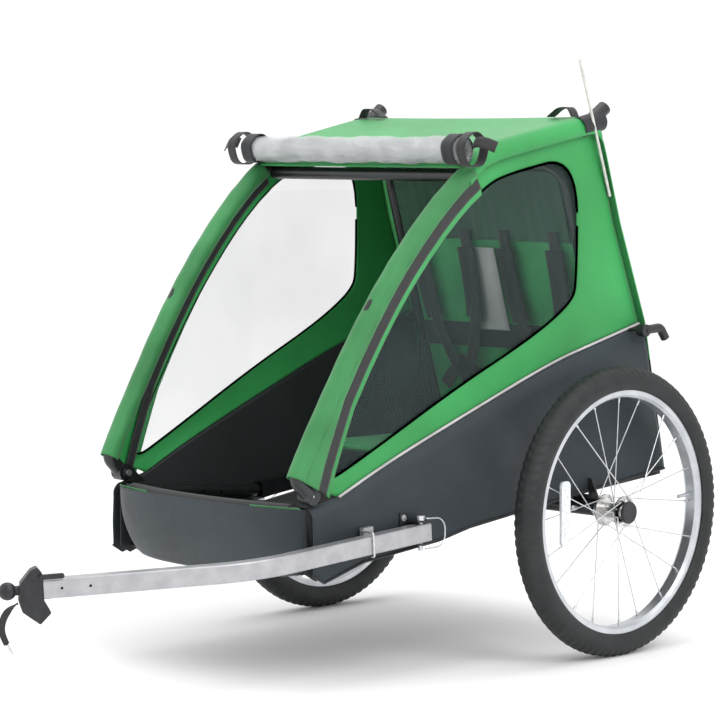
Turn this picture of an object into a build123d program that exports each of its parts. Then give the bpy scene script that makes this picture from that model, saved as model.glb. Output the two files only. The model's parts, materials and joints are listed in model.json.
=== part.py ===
from build123d import *
import math
import os

os.makedirs("parts", exist_ok=True)

# Two-seat child bicycle trailer.  Millimetres, +Z up, -Y is the nose, +X is the trailer's left.
# The origin is on the ground, under the middle of the overall box.
# Side-profile places are written as (y, z) with y counted from the axle, towards the rear.

# ---------------------------------------------------------------- driving sizes
overall_length = 1352.0      # hitch knob to the back of the tyres
track_width = 733.5          # between the two tyres' middle planes
frame_half_width = 272.0     # middle plane of a side tube at the axle
toe_in = 3.35                # degrees that each side leans in towards the nose, seen from above
running_gap = 0.05           # radial clearance of a turning shaft
cloth_gap = 1.5              # cloth stands this far off a tube
cloth_wall = 2.0             # thickness of a stretched cloth panel

# wheels
tyre_radius = 250.0
tyre_tube_radius = 23.5
tyre_casing = 3.5
rim_edge_radius = 213.0
rim_inner_radius = 198.0
rim_width = 31.0
rim_wall = 2.5
spoke_count = 20
spoke_radius = 1.0
spoke_stagger = 4.3
spoke_hole_radius = 22.5
nipple_radius = 1.9
nipple_length = 9.0
hub_inset = 6.0              # the hub sits this far inboard of the tyre's middle plane
hub_flange_radius = 27.5
hub_flange_wall = 3.0
hub_flange_half_gap = 21.0
hub_barrel_radius = 13.0
hub_length = 50.0
axle_radius = 6.0
button_radius = 19.0
button_length = 6.0
button_travel = 3.0
button_gap = button_travel + 0.6
reflector_size = (5.0, 22.0, 110.0)
reflector_radius = 152.0
reflector_rise = 11.0
valve_length = 34.0
valve_radius = 3.2

# axle and its brackets
axle_tube_radius = 12.5
axle_collar_length = 13.0
axle_collar_wall = 6.0
axle_socket_depth = 75.0
gusset_wall = 3.0
gusset_rise = 50.0

# floor frame
rail_width = 36.0
rail_height = 28.0
rail_wall = 2.0
rail_front_y = -282.0
rail_rear_y = 200.0
rail_axle_z = 287.0
rail_slope = 0.10
hoop_radius = 11.8
hoop_wall = 2.0
hoop_plug = 40.0             # length of the hoop's legs inside the rails
hoop_corner = (-612.0, 287.0)
hoop_nose_y = -640.0
hoop_corner_radius = 55.0
cross_radius = 11.0
cross_wall = 1.5
plate_wall = 3.0
bolt_radius = 3.0
bolt_head = 2.5

# cage: two bent side tubes, from the nose corners over the roof to the stub ends
tube_radius = 12.5
tube_wall = 1.6
cage_pivot = (-606.0, 318.0)
cage_path = [(-634.0, 345.0), (-606.0, 400.0), (-470.0, 622.0), (-330.0, 782.0),
             (-215.0, 864.0), (18.0, 912.0), (64.0, 944.0)]
cage_bends = [14.0, 60.0, 330.0, 170.0, 260.0, 40.0]
arch_bar = (-238.0, 829.0)
roof_bar_y = -8.0
roof_bar_drop = 7.0
roof_front_share = 0.62      # where the roof starts, along the arch's last straight run
roof_rear_y = 32.0
roll_radius = 24.5
roll_wall = 8.0
roll_half = 262.0
roll_place = (-278.0, 872.0)

# seat back and seat
back_pivot = (170.0, 348.0)
back_top = (22.0, 842.0)
back_half_width = 218.0
back_tube_radius = 10.0
back_bend = 45.0
back_panel_wall = 6.0
seat_front_y = -150.0
seat_rear_y = 108.0
seat_top_z = 350.0
seat_pad = 28.0
seat_half_width = 212.0
lever_place = (125.0, 554.0)
lever_out = 37.0
lever_radius = 8.0

# cloth outlines on a side, as (y, z)
skirt_out = 13.0             # inner face of the lower cloth, outside the side plane
belt_line = [(-549.0, 312.0), (-433.0, 365.0), (-245.0, 438.0), (-66.0, 506.0), (42.0, 535.0), (143.0, 562.0)]
skirt_bottom = [(-612.0, 296.0), (-612.0, 190.0), (-590.0, 177.0), (-507.0, 203.0), (-340.0, 223.0),
                (-270.0, 239.0), (-162.0, 254.0), (79.0, 286.0), (206.0, 303.0)]
rear_line = [(152.0, 564.0), (87.0, 741.0), (50.0, 870.0)]
window_line = [(-583.0, 332.0), (-489.0, 375.0), (-287.0, 475.0), (-153.0, 533.0), (-74.0, 572.0),
               (-16.0, 610.0), (-5.0, 640.0), (-5.0, 865.0), (-161.0, 833.0), (-222.0, 812.0),
               (-308.0, 741.0), (-369.0, 674.0), (-437.0, 590.0), (-500.0, 494.0), (-556.0, 400.0)]
rear_step = 18.0             # the rear cover stands this far behind the side panels
floor_line = [(-596.0, 181.0), (-507.0, 206.0), (-340.0, 226.0), (-286.0, 238.0)]
floor_rear_line = [(-140.0, 254.0), (-30.0, 264.5), (40.0, 270.0), (150.0, 284.0)]
floor_wall = 3.0

# tow arm
arm_width = 25.0
arm_height = 30.0
arm_wall = 2.0
arm_x = 286.5
arm_pin_y = -402.0
arm_pin_z = 244.0
arm_tail = 13.0
arm_slope = 3.8              # degrees that the arm falls towards the nose
arm_straight = 290.0
arm_bend_radius = 240.0
arm_bend = 33.5
arm_corner = 3.0
arm_fork_gap = 2.5           # clearance between the arm and its bracket's plates
pin_radius = 4.0
pin_head_radius = 7.0
pin_length = 58.0
pin_head_length = 8.0
bail_wire = 1.25
bail_reach = 42.0
clip_wire = 1.5
clip_ahead = 107.0
clip_foot = 3.0

# hitch: profile of its body as (ahead of the arm's end, up)
hitch_profile = [(0.0, 24.0), (8.0, 35.0), (18.0, 31.0), (35.0, 12.0), (39.0, -15.0), (34.0, -33.0),
                 (8.0, -54.0), (-10.0, -37.0), (0.0, -17.0)]
hitch_width = 26.0
hitch_bore_start = 16.0
knob_radius = 14.0
knob_ahead = 55.0
neck_radius = 7.5
lever_pin = (3.0, 20.0)
lock_lever_length = 40.0
lock_lever_height = 8.0
lock_lever_wall = 6.0
strap_width = 12.0
strap_wall = 2.0
strap_route = [(39.4, -20.0), (48.0, -24.0), (59.0, -34.0), (66.5, -49.0), (67.5, -66.0), (60.5, -82.0)]
hook_length = 18.0

# ---------------------------------------------------------------- places that follow from them
axle_y = overall_length / 2 - tyre_radius
wheel_x = track_width / 2
hub_x = wheel_x - hub_inset
hub_inner_x = hub_x - hub_length / 2
axle_tube_end = hub_inner_x - axle_collar_length - 1.0
lean = math.tan(math.radians(toe_in))
rail_out = skirt_out - cloth_gap - rail_width / 2
sleeve_radius = tube_radius + cloth_gap
parts = {}


# ---------------------------------------------------------------- helpers
def side_x(y, out=0.0):
    """Width of the left side plane at y from the axle, plus a distance outwards."""
    return frame_half_width + y * lean + out


def at(y, z, out=0.0):
    """A point on the left side, from its side-profile place."""
    return Vector(side_x(y, out), axle_y + y, z)


def side_plane(out):
    """Plane parallel to the left side; its local x runs rearwards and its local y runs up."""
    turn = math.radians(toe_in)
    plane = Plane(origin=(frame_half_width, axle_y, 0), x_dir=(math.sin(turn), math.cos(turn), 0),
                  z_dir=(math.cos(turn), -math.sin(turn), 0))
    return plane.offset(out)


def side_sheet(outline, out, wall):
    """A flat sheet of a given outline on the left side, with its inner face at out."""
    stretch = 1 / math.cos(math.radians(toe_in))
    face = make_face(Polyline([(y * stretch, z) for y, z in outline], close=True).edges())
    return extrude(side_plane(out) * face, wall)


def mirrored(shape):
    return mirror(shape, about=Plane.YZ)


def both(shape):
    """The left piece and its mirror image on the right."""
    return [shape, mirrored(shape)]


def round_tube(points, bends, radius, wall=0.0):
    """A round bar or tube along straight runs joined by arcs."""
    path = FilletPolyline(*points, radius=bends)
    section = Circle(radius)
    if wall:
        section = section - Circle(radius - wall)
    return sweep(Plane(origin=path @ 0, z_dir=path % 0) * section, path=path)


def rod(start, end, radius, wall=0.0):
    """A straight round bar or tube between two points."""
    start = Vector(*start)
    end = Vector(*end)
    section = Circle(radius)
    if wall:
        section = section - Circle(radius - wall)
    return extrude(Plane(origin=start, z_dir=end - start) * section, (end - start).length)


def hole(centre, direction, radius, length):
    """A round cutter centred on a point."""
    middle = Vector(*centre)
    half = Vector(*direction).normalized() * (length / 2)
    return rod(middle - half, middle + half, radius)


def block(x0, x1, y0, y1, z0, z1):
    """A box from its limits, with y counted from the axle."""
    return Pos((x0 + x1) / 2, axle_y + (y0 + y1) / 2, (z0 + z1) / 2) * Box(x1 - x0, y1 - y0, z1 - z0)


def ring(profile):
    """A profile of (x, r) turned round the wheel's axis."""
    face = make_face(Polyline([(x, 0, r) for x, r in profile], close=True).edges())
    return revolve(face, axis=Axis.X)


def across_slab(profile, half):
    """A side profile of (y, z) drawn out across the whole trailer."""
    face = make_face(Polyline([(0, axle_y + y, z) for y, z in profile], close=True).edges())
    return extrude(face, half, both=True)


def plan_prism(plan, height=1400.0):
    """A plan of (half width, y), mirrored to both sides and drawn up from the ground."""
    points = [(x, axle_y + y) for x, y in plan] + [(-x, axle_y + y) for x, y in plan[::-1]]
    return extrude(make_face(Polyline(points, close=True).edges()), height)


def between(a, b, share):
    return (a[0] + (b[0] - a[0]) * share, a[1] + (b[1] - a[1]) * share)


def offset_run(run, out_up):
    """A side-profile run moved away from the cabin by out_up."""
    moved = []
    for i, (y, z) in enumerate(run):
        before = run[max(i - 1, 0)]
        after = run[min(i + 1, len(run) - 1)]
        dy, dz = after[0] - before[0], after[1] - before[1]
        size = math.hypot(dy, dz)
        moved.append((y - dz / size * out_up, z + dy / size * out_up))
    return moved


def rail_z(y):
    """Height of a floor rail's middle at y."""
    return rail_axle_z + rail_slope * y


def cross_bar(y, z, half):
    """A tube across the trailer at a side-profile place."""
    return rod((-half, axle_y + y, z), (half, axle_y + y, z), cross_radius, cross_wall)


# ---------------------------------------------------------------- wheels
def make_tyre():
    """Casing of round section, open towards the rim, with its edges on the rim's edges."""
    middle = tyre_radius - tyre_tube_radius
    section = Circle(tyre_tube_radius) - Circle(tyre_tube_radius - tyre_casing)
    opening = 2 * tyre_tube_radius
    section = section - Pos(0, rim_edge_radius - middle - opening / 2) * Rectangle(2 * opening, opening)
    on_rim = Plane(origin=(0, 0, middle), x_dir=(1, 0, 0), z_dir=(0, -1, 0)) * section
    return revolve(on_rim, axis=Axis.X)


def make_rim():
    """Box rim: two side walls, a spoke bed and the valve."""
    half = rim_width / 2
    chamfer = 6.0
    channel = [(-half, rim_edge_radius), (-half, rim_inner_radius + 4), (-half + chamfer, rim_inner_radius),
               (half - chamfer, rim_inner_radius), (half, rim_inner_radius + 4), (half, rim_edge_radius),
               (half - rim_wall, rim_edge_radius), (half - rim_wall, rim_inner_radius + chamfer),
               (-half + rim_wall, rim_inner_radius + chamfer), (-half + rim_wall, rim_edge_radius)]
    valve = rod((0, rim_inner_radius - 0.1, 0), (0, rim_inner_radius - valve_length, 0), valve_radius)
    return [ring(channel), Rot(4, 0, 0) * valve]


def spoke_ends(side, i):
    """Flange end and rim end of one spoke, with its lead round the wheel."""
    per_side = spoke_count // 2
    step = 2 * math.pi / per_side
    lead = 1 if i % 2 else -1
    turn = step * i + (step / 2 if side > 0 else 0)
    rim_turn = turn + lead * 2 * step
    flange_x = side * hub_flange_half_gap - hub_inset
    start = Vector(flange_x + lead * spoke_stagger, spoke_hole_radius * math.cos(turn),
                   spoke_hole_radius * math.sin(turn))
    end_radius = rim_inner_radius - 0.6
    end = Vector(side * 3.5 + lead * 1.6, end_radius * math.cos(rim_turn), end_radius * math.sin(rim_turn))
    return start, end, lead


def make_spokes():
    """Crossed spokes, each with its nipple and an elbow that hooks through the flange."""
    spokes = []
    for side in (-1, 1):
        for i in range(spoke_count // 2):
            start, end, lead = spoke_ends(side, i)
            way = (end - start).normalized()
            elbow_end = start - Vector(lead * (2 * spoke_stagger - 1.2), 0, 0)
            wire = rod(start, end, spoke_radius) + rod(start, elbow_end, spoke_radius)
            wire += Pos(*start) * Sphere(spoke_radius)
            spokes.append(wire + rod(end - way * nipple_length, end, nipple_radius))
    return spokes


def make_hub():
    """Barrel with two drilled spoke flanges, bored for the axle."""
    half = hub_length / 2
    barrel = extrude(Plane.YZ.offset(-half - hub_inset) * Circle(hub_barrel_radius), hub_length)
    for side in (-1, 1):
        start = side * hub_flange_half_gap - hub_flange_wall / 2 - hub_inset
        flange = extrude(Plane.YZ.offset(start) * Circle(hub_flange_radius), hub_flange_wall)
        for i in range(spoke_count // 2):
            flange -= hole(spoke_ends(side, i)[0], (1, 0, 0), spoke_radius + 0.15, 4 * spoke_stagger)
        barrel += flange
    bore = axle_radius + running_gap
    return barrel - extrude(Plane.YZ.offset(-half - hub_inset - 1) * Circle(bore), hub_length + 2)


def make_reflector():
    """Slim clear bar clipped to the spokes, ahead of the hub."""
    wide, deep, tall = reflector_size
    bar = Box(wide, deep, tall)
    bar = fillet(bar.edges().filter_by(Axis.X), deep * 0.35)
    return Pos(rim_width / 2 - 1, -reflector_radius, reflector_rise) * bar


wheel_place = Pos(wheel_x, axle_y, tyre_radius)
button = extrude(Plane.YZ.offset(hub_length / 2 - hub_inset + button_gap) * Circle(button_radius), button_length)
wheel_pieces = {"tyre": [make_tyre()], "rim": make_rim(), "spokes": make_spokes(), "hub": [make_hub()],
                "reflector": [make_reflector()], "release_button": [fillet(button.edges(), 1.5)]}
for name, solids in wheel_pieces.items():
    placed = [wheel_place * s for s in solids]
    parts[name + "_left"] = placed
    parts[name + "_right"] = [mirrored(s) for s in placed]

# ---------------------------------------------------------------- axle
socket = axle_radius + running_gap
socket_start = axle_tube_end - axle_socket_depth
axle = rod((-axle_tube_end, axle_y, tyre_radius), (axle_tube_end, axle_y, tyre_radius), axle_tube_radius)
for end in (-1, 1):
    axle -= rod((end * socket_start, axle_y, tyre_radius), (end * (axle_tube_end + 1), axle_y, tyre_radius), socket)
parts["axle_tube"] = [axle]
stub = rod((socket_start + 1, axle_y, tyre_radius), (hub_x + hub_length / 2, axle_y, tyre_radius), axle_radius)
stub += rod((axle_tube_end + 0.5, axle_y, tyre_radius), (hub_inner_x - 0.5, axle_y, tyre_radius),
            axle_radius + axle_collar_wall)
parts["axle_stubs"] = both(stub)

gusset_inner = side_x(0, rail_out) - rail_width / 2 + 1
gusset_outer = axle_tube_end - 4
skirt_outer = side_x(axle_tube_radius + gusset_wall, skirt_out + cloth_wall) + 1.5
gusset_low = tyre_radius - axle_tube_radius + 2
gusset_mid = rail_z(0) - rail_height / 2 - 1.5
gusset_points = [(gusset_inner, gusset_low), (gusset_outer, gusset_low), (gusset_outer, tyre_radius + 6),
                 (skirt_outer + 6, tyre_radius + gusset_rise), (skirt_outer, tyre_radius + gusset_rise),
                 (skirt_outer, gusset_mid), (gusset_inner, gusset_mid)]
gusset_face = make_face(Polyline([(x, axle_y + axle_tube_radius + 0.2, z) for x, z in gusset_points],
                                 close=True).edges())
gusset = extrude(gusset_face, gusset_wall, dir=(0, 1, 0))
saddle = block(gusset_inner, gusset_inner + 26, -axle_tube_radius, axle_tube_radius + 0.1,
               tyre_radius + axle_tube_radius + 0.1, rail_z(-axle_tube_radius) - rail_height / 2 - 0.4)
parts["axle_brackets"] = both(gusset) + both(saddle)

# ---------------------------------------------------------------- floor frame
rail_section = Rectangle(rail_height, rail_width) - Rectangle(rail_height - 2 * rail_wall,
                                                              rail_width - 2 * rail_wall)
rail_path = Line(at(rail_front_y, rail_z(rail_front_y), rail_out), at(rail_rear_y, rail_z(rail_rear_y), rail_out))
rail_start = Plane(origin=rail_path @ 0, x_dir=(0, 0, 1), z_dir=rail_path % 0)
rail_box = extrude(rail_start * rail_section, rail_path.length)
parts["floor_rail_left"] = [rail_box]
parts["floor_rail_right"] = [mirrored(rail_box)]

corner_y, corner_z = hoop_corner
mouth_y = rail_front_y - 22.0
hoop_points = [at(rail_front_y + hoop_plug, rail_z(rail_front_y + hoop_plug), rail_out),
               at(mouth_y, rail_z(mouth_y), rail_out), at(corner_y, corner_z, rail_out),
               Vector(0, axle_y + hoop_nose_y, corner_z)]
hoop_points += [Vector(-p.X, p.Y, p.Z) for p in reversed(hoop_points[:-1])]
hoop_bends = [150.0, hoop_corner_radius, 900.0, hoop_corner_radius, 150.0]
hoop = round_tube(hoop_points, hoop_bends, hoop_radius, hoop_wall)


def hoop_z(y):
    """Height of the hoop's legs at y."""
    return between((mouth_y, rail_z(mouth_y)), hoop_corner, (y - mouth_y) / (corner_y - mouth_y))[1]


bracket_bolts = [arm_pin_y - 22.0, arm_pin_y + 22.0]
for y in bracket_bolts:
    for end in (-1, 1):
        hoop -= hole((end * side_x(y), axle_y + y, hoop_z(y)), (1, 0, 0), bolt_radius + running_gap, 80)
parts["front_hoop"] = [hoop]

rear_bar_y = rail_rear_y - 22
parts["rear_cross_tube"] = [cross_bar(rear_bar_y, rail_z(rear_bar_y), side_x(rear_bar_y, rail_out)
                                      - rail_width / 2 - 1)]
seat_bar_y = seat_front_y + 10
parts["seat_cross_tube"] = [cross_bar(seat_bar_y, rail_z(seat_bar_y), side_x(seat_bar_y, rail_out)
                                      - rail_width / 2 - 1)]

# brackets that carry the two fold pivots on each side, and their bolts
pivot_y, pivot_z = cage_pivot
hoop_top = corner_z + hoop_radius + 1.0
cage_lug_out = -tube_radius - 2.5 - plate_wall
cage_lug = side_sheet([(pivot_y + 10, hoop_top), (pivot_y + 40, hoop_top), (pivot_y + 9, pivot_z + 8),
                       (pivot_y, pivot_z + 11), (pivot_y - 9, pivot_z + 8), (pivot_y - 10, pivot_z - 6)],
                      cage_lug_out, plate_wall)
cage_lug -= hole(at(pivot_y, pivot_z, cage_lug_out), (1, 0, 0), bolt_radius + running_gap, 40)
back_y, back_z = back_pivot
back_lug_x = back_half_width + back_tube_radius + 1.0
rail_top = rail_z(back_y + 12) + rail_height / 2 + 0.3
back_lug = block(back_lug_x, back_lug_x + plate_wall, back_y - 12, back_y + 12, rail_top, back_z + 12)
back_lug += block(back_lug_x, side_x(back_y, rail_out) + 12, back_y - 12, back_y + 12, rail_top, rail_top + plate_wall)
back_lug -= hole((back_lug_x, axle_y + back_y, back_z), (1, 0, 0), bolt_radius + running_gap, 40)
parts["pivot_brackets"] = both(cage_lug) + both(back_lug)

cage_bolt_in = side_x(pivot_y, cage_lug_out) - 1.5
cage_bolt = rod((cage_bolt_in, axle_y + pivot_y, pivot_z), (side_x(pivot_y, 9.0), axle_y + pivot_y, pivot_z),
                bolt_radius)
cage_bolt += rod((cage_bolt_in - 3, axle_y + pivot_y, pivot_z), (cage_bolt_in, axle_y + pivot_y, pivot_z),
                 bolt_radius + bolt_head)
back_bolt = rod((back_half_width - 9, axle_y + back_y, back_z), (back_lug_x + plate_wall + 2, axle_y + back_y, back_z),
                bolt_radius)
axle_bolt_x = (gusset_inner + gusset_outer) / 2
axle_bolt = rod((axle_bolt_x, axle_y - axle_tube_radius - 0.3, tyre_radius),
                (axle_bolt_x, axle_y - axle_tube_radius - 7, tyre_radius), bolt_radius + 1.5)
bracket_half = 29.0
bracket_x = side_x(arm_pin_y + bracket_half, skirt_out + cloth_wall) + 0.5
bracket_wall = 2.0
frame_bolts = both(cage_bolt) + both(back_bolt) + both(axle_bolt)
for y in bracket_bolts:
    inner = side_x(y, rail_out - hoop_radius - 4)
    bolt = rod((inner, axle_y + y, hoop_z(y)), (bracket_x + bracket_wall + 0.2, axle_y + y, hoop_z(y)), bolt_radius)
    bolt += rod((bracket_x + bracket_wall + 0.2, axle_y + y, hoop_z(y)),
                (bracket_x + bracket_wall + 2.7, axle_y + y, hoop_z(y)), bolt_radius + bolt_head)
    frame_bolts.append(bolt)
parts["frame_bolts"] = frame_bolts

# ---------------------------------------------------------------- cage
cage_points = [at(pivot_y, pivot_z)] + [at(y, z) for y, z in cage_path]
cage_tube = round_tube(cage_points, cage_bends, tube_radius)
# the push bar's socket: the tube's open rear end (the rest is solid, a stand-in for a tube)
socket_depth = 40.0
socket_run = (cage_points[-1] - cage_points[-2]).normalized()
cage_tube -= rod(cage_points[-1] - socket_run * socket_depth, cage_points[-1] + socket_run, tube_radius - tube_wall)
boss_wall = 2.0
cage_tube += rod(at(pivot_y, pivot_z, -tube_radius - 1.5), at(pivot_y, pivot_z, 10.0), tube_radius + boss_wall)
cage_tube -= hole(at(pivot_y, pivot_z), (1, 0, 0), bolt_radius + running_gap, 80)
parts["arch_tube_left"] = [cage_tube]
parts["arch_tube_right"] = [mirrored(cage_tube)]

arch_y, arch_z = arch_bar
roof_bar_z = between(cage_path[4], cage_path[5],
                     (roof_bar_y - cage_path[4][0]) / (cage_path[5][0] - cage_path[4][0]))[1] - roof_bar_drop
parts["roof_cross_tubes"] = [cross_bar(arch_y, arch_z, side_x(arch_y) - tube_radius - 1.5),
                             cross_bar(roof_bar_y, roof_bar_z, side_x(roof_bar_y) - tube_radius - 1.5)]

# sleeve: the cloth channel round the front of each arch tube, open towards the cabin
roof_start = between(cage_path[3], cage_path[4], roof_front_share)
sleeve_end = between(cage_path[3], cage_path[4], roof_front_share - 0.08)
sleeve_start = between(cage_path[0], cage_path[1], 0.35)
sleeve_points = [at(y, z) for y, z in [sleeve_start] + cage_path[1:4] + [sleeve_end]]
sleeve_path = FilletPolyline(*sleeve_points, radius=cage_bends[1:4])
across = side_plane(0).z_dir
sleeve_section = Circle(sleeve_radius + cloth_wall) - Circle(sleeve_radius)
slot = sleeve_radius * 1.1
sleeve_section = sleeve_section - Pos(0, -slot) * Rectangle(3 * slot, slot)
sleeve_plane = Plane(origin=sleeve_path @ 0, x_dir=across, z_dir=sleeve_path % 0)
if sleeve_plane.y_dir.Y > 0:
    sleeve_plane = Plane(origin=sleeve_path @ 0, x_dir=across * -1, z_dir=sleeve_path % 0)
sleeve = sweep(sleeve_plane * sleeve_section, path=sleeve_path)
parts["arch_sleeve_left"] = [sleeve]
parts["arch_sleeve_right"] = [mirrored(sleeve)]

# roof: one sheet from the front cross tube to the rear edge, with holes for the stub tubes
roof_slope = (cage_path[5][1] - cage_path[4][1]) / (cage_path[5][0] - cage_path[4][0])
roof_end = (roof_rear_y, cage_path[5][1] + (roof_rear_y - cage_path[5][0]) * roof_slope)
roof_run = [roof_start, cage_path[4], roof_end]
roof_low = offset_run(roof_run, sleeve_radius)
roof_high = offset_run(roof_run, sleeve_radius + cloth_wall)
roof_out = sleeve_radius
roof = across_slab(roof_high + roof_low[::-1], frame_half_width + 60)
roof &= plan_prism([(side_x(80, roof_out), 80), (side_x(-420, roof_out), -420)])
stub_cut = rod(at(*between(cage_path[5], cage_path[6], -0.6)), at(*between(cage_path[5], cage_path[6], 1.4)),
               tube_radius + 1.0)
stub_cuts = Compound(children=both(stub_cut))
parts["roof_cover"] = [roof - stub_cuts]

# rolled-up clear cover on the roof's front edge, with its end straps
roll_y, roll_z = roll_place
parts["cover_roll"] = [rod((-roll_half, axle_y + roll_y, roll_z), (roll_half, axle_y + roll_y, roll_z),
                           roll_radius, roll_wall)]
band_radius = 29.0
band_in = max(side_x(roll_y, sleeve_radius + cloth_wall + 1.0), roll_half + 1.0)
band_width = 20.0
band = rod((band_in, axle_y + roll_y, roll_z), (band_in + band_width, axle_y + roll_y, roll_z), band_radius, 6.0)
tab = block(band_in + band_width + 0.5, band_in + band_width + 36, roll_y - 9, roll_y + 9, roll_z + 5, roll_z + 15)
parts["roll_straps"] = both(band) + both(tab)

# webbing loops over the roof's rear corners, by the stub ends
loop_y = 2.0
loop_foot = roof_end[1] + (loop_y - roof_rear_y) * roof_slope + sleeve_radius + cloth_wall + 3.4
loop_x = side_x(loop_y) - tube_radius
loop_points = [Vector(loop_x + 4, axle_y + loop_y, loop_foot), Vector(loop_x - 8, axle_y + loop_y, loop_foot + 17),
               Vector(loop_x - 32, axle_y + loop_y, loop_foot + 15), Vector(loop_x - 54, axle_y + loop_y, loop_foot)]
loop_path = FilletPolyline(*loop_points, radius=9)
loop_start = Plane(origin=loop_path @ 0, x_dir=(0, 1, 0), z_dir=loop_path % 0)
parts["webbing_loops"] = both(sweep(loop_start * Rectangle(20, 2), path=loop_path))

# flag rod: stands in a pocket along the left rear edge
flag_foot = at(72.0, 790.0, 6.7)
flag_top = at(-24.0, 1026.0, 25.0)
rod_radius = 2.5
parts["flag_rod"] = [rod(flag_foot, flag_top, rod_radius)]

# ---------------------------------------------------------------- seat back, its harnesses and fold levers
top_y, top_z = back_top
corner_up = Vector(back_half_width, axle_y + top_y, top_z)
foot = Vector(back_half_width, axle_y + back_y, back_z)
leg_start = foot + (corner_up - foot).normalized() * 4
back_points = [leg_start, corner_up, Vector(-corner_up.X, corner_up.Y, corner_up.Z),
               Vector(-leg_start.X, leg_start.Y, leg_start.Z)]
back_hoop = round_tube(back_points, [back_bend, back_bend], back_tube_radius)
for end in (-1, 1):
    back_hoop += rod((end * (back_half_width - 10), axle_y + back_y, back_z),
                     (end * (back_half_width + 10), axle_y + back_y, back_z), back_tube_radius + 2)
    back_hoop -= hole((end * back_half_width, axle_y + back_y, back_z), (1, 0, 0), bolt_radius + running_gap, 60)
parts["back_frame"] = [back_hoop]

back_length = math.hypot(top_y - back_y, top_z - back_z)
back_tilt = math.atan2(back_y - top_y, top_z - back_z)
back_plane = Plane(origin=(0, axle_y + back_y, back_z), x_dir=(1, 0, 0),
                   z_dir=(0, -math.cos(back_tilt), -math.sin(back_tilt)))
panel_half = back_half_width - back_tube_radius - cloth_gap
panel_top = back_length - back_tube_radius - cloth_gap
panel_low = 24.0


def on_back(x0, x1, up0, up1, ahead0, ahead1):
    """A slab on the seat back: x across, up along the frame, ahead towards the nose."""
    slab = Pos((x0 + x1) / 2, (up0 + up1) / 2, (ahead0 + ahead1) / 2) * Box(x1 - x0, up1 - up0, ahead1 - ahead0)
    return back_plane * slab


panel = on_back(-panel_half, panel_half, panel_low, panel_top, -back_panel_wall / 2, back_panel_wall / 2)
long_edges = panel.edges().filter_by(lambda e: abs((e % 0.5).dot(back_plane.z_dir)) > 0.99)
panel = fillet(long_edges.sort_by(Axis.Z)[-2:], back_bend - back_tube_radius - cloth_gap)
parts["back_panel"] = [panel]

belt_half = 16.0
shoulder_gap = 60.0
pad_half = belt_half + 6
belt_front = back_panel_wall / 2 + 0.5
for name, middle in (("left", 108.0), ("right", -108.0)):
    harness = []
    for side in (-1, 1):
        x = middle + side * shoulder_gap
        harness.append(on_back(x - belt_half, x + belt_half, 80, back_length - 130, belt_front, belt_front + 3))
        harness.append(on_back(x - pad_half, x + pad_half, 210, 360, belt_front + 3.5, belt_front + 12))
    harness.append(on_back(middle - 24, middle + 24, 110, 160, belt_front + 3.5, belt_front + 17))
    parts["harness_" + name] = harness

lever_y, lever_z = lever_place
lever_hub = at(lever_y, lever_z, lever_out)
lever_path = FilletPolyline(lever_hub, lever_hub + Vector(0, 46, 3), lever_hub + Vector(0, 60, -16), radius=12)
lever = sweep(Plane(origin=lever_path @ 0, z_dir=lever_path % 0) * Circle(lever_radius), path=lever_path)
lever += rod(lever_hub - Vector(lever_radius, 0, 0), lever_hub + Vector(lever_radius, 0, 0), lever_radius + 3)
post_radius = 3.0
lever -= hole(lever_hub, (1, 0, 0), post_radius + running_gap, 60)
link_x = back_half_width + back_tube_radius + 0.6
post_y = back_y + (top_y - back_y) * (lever_z - back_z) / (top_z - back_z)
link = block(link_x, link_x + plate_wall, post_y - 10, lever_y + 10, lever_z - 10, lever_z + 10)
post = rod((link_x, lever_hub.Y, lever_z), lever_hub + Vector(lever_radius - 1, 0, 0), post_radius)
parts["fold_lever_left"] = [lever]
parts["fold_lever_right"] = [mirrored(lever)]
parts["lever_posts"] = both(link + post)

# ---------------------------------------------------------------- cloth of the body
post_slot = hole(at(lever_y, lever_z), (1, 0, 0), post_radius + 2, 80)
skirt = side_sheet(belt_line + skirt_bottom[::-1], skirt_out, cloth_wall)
skirt_left = skirt - post_slot
for y in bracket_bolts:
    skirt_left -= hole(at(y, hoop_z(y), skirt_out), (1, 0, 0), bolt_radius + 0.3, 20)
parts["lower_side_left"] = [skirt_left]
parts["lower_side_right"] = [mirrored(skirt - post_slot)]

tube_room = round_tube(cage_points, cage_bends, sleeve_radius)
panel_outline = [(y, z + 0.5) for y, z in belt_line] + rear_line + cage_path[5:0:-1]
side_panel = side_sheet(panel_outline, -cloth_wall / 2, cloth_wall) - post_slot - tube_room
side_panel -= side_sheet(window_line, -cloth_wall, 2 * cloth_wall)
parts["side_panel_left"] = [side_panel]
parts["side_panel_right"] = [mirrored(side_panel)]
pane = side_sheet(window_line, -0.5, 1.0)
parts["window_left"] = [pane]
parts["window_right"] = [mirrored(pane)]

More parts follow.
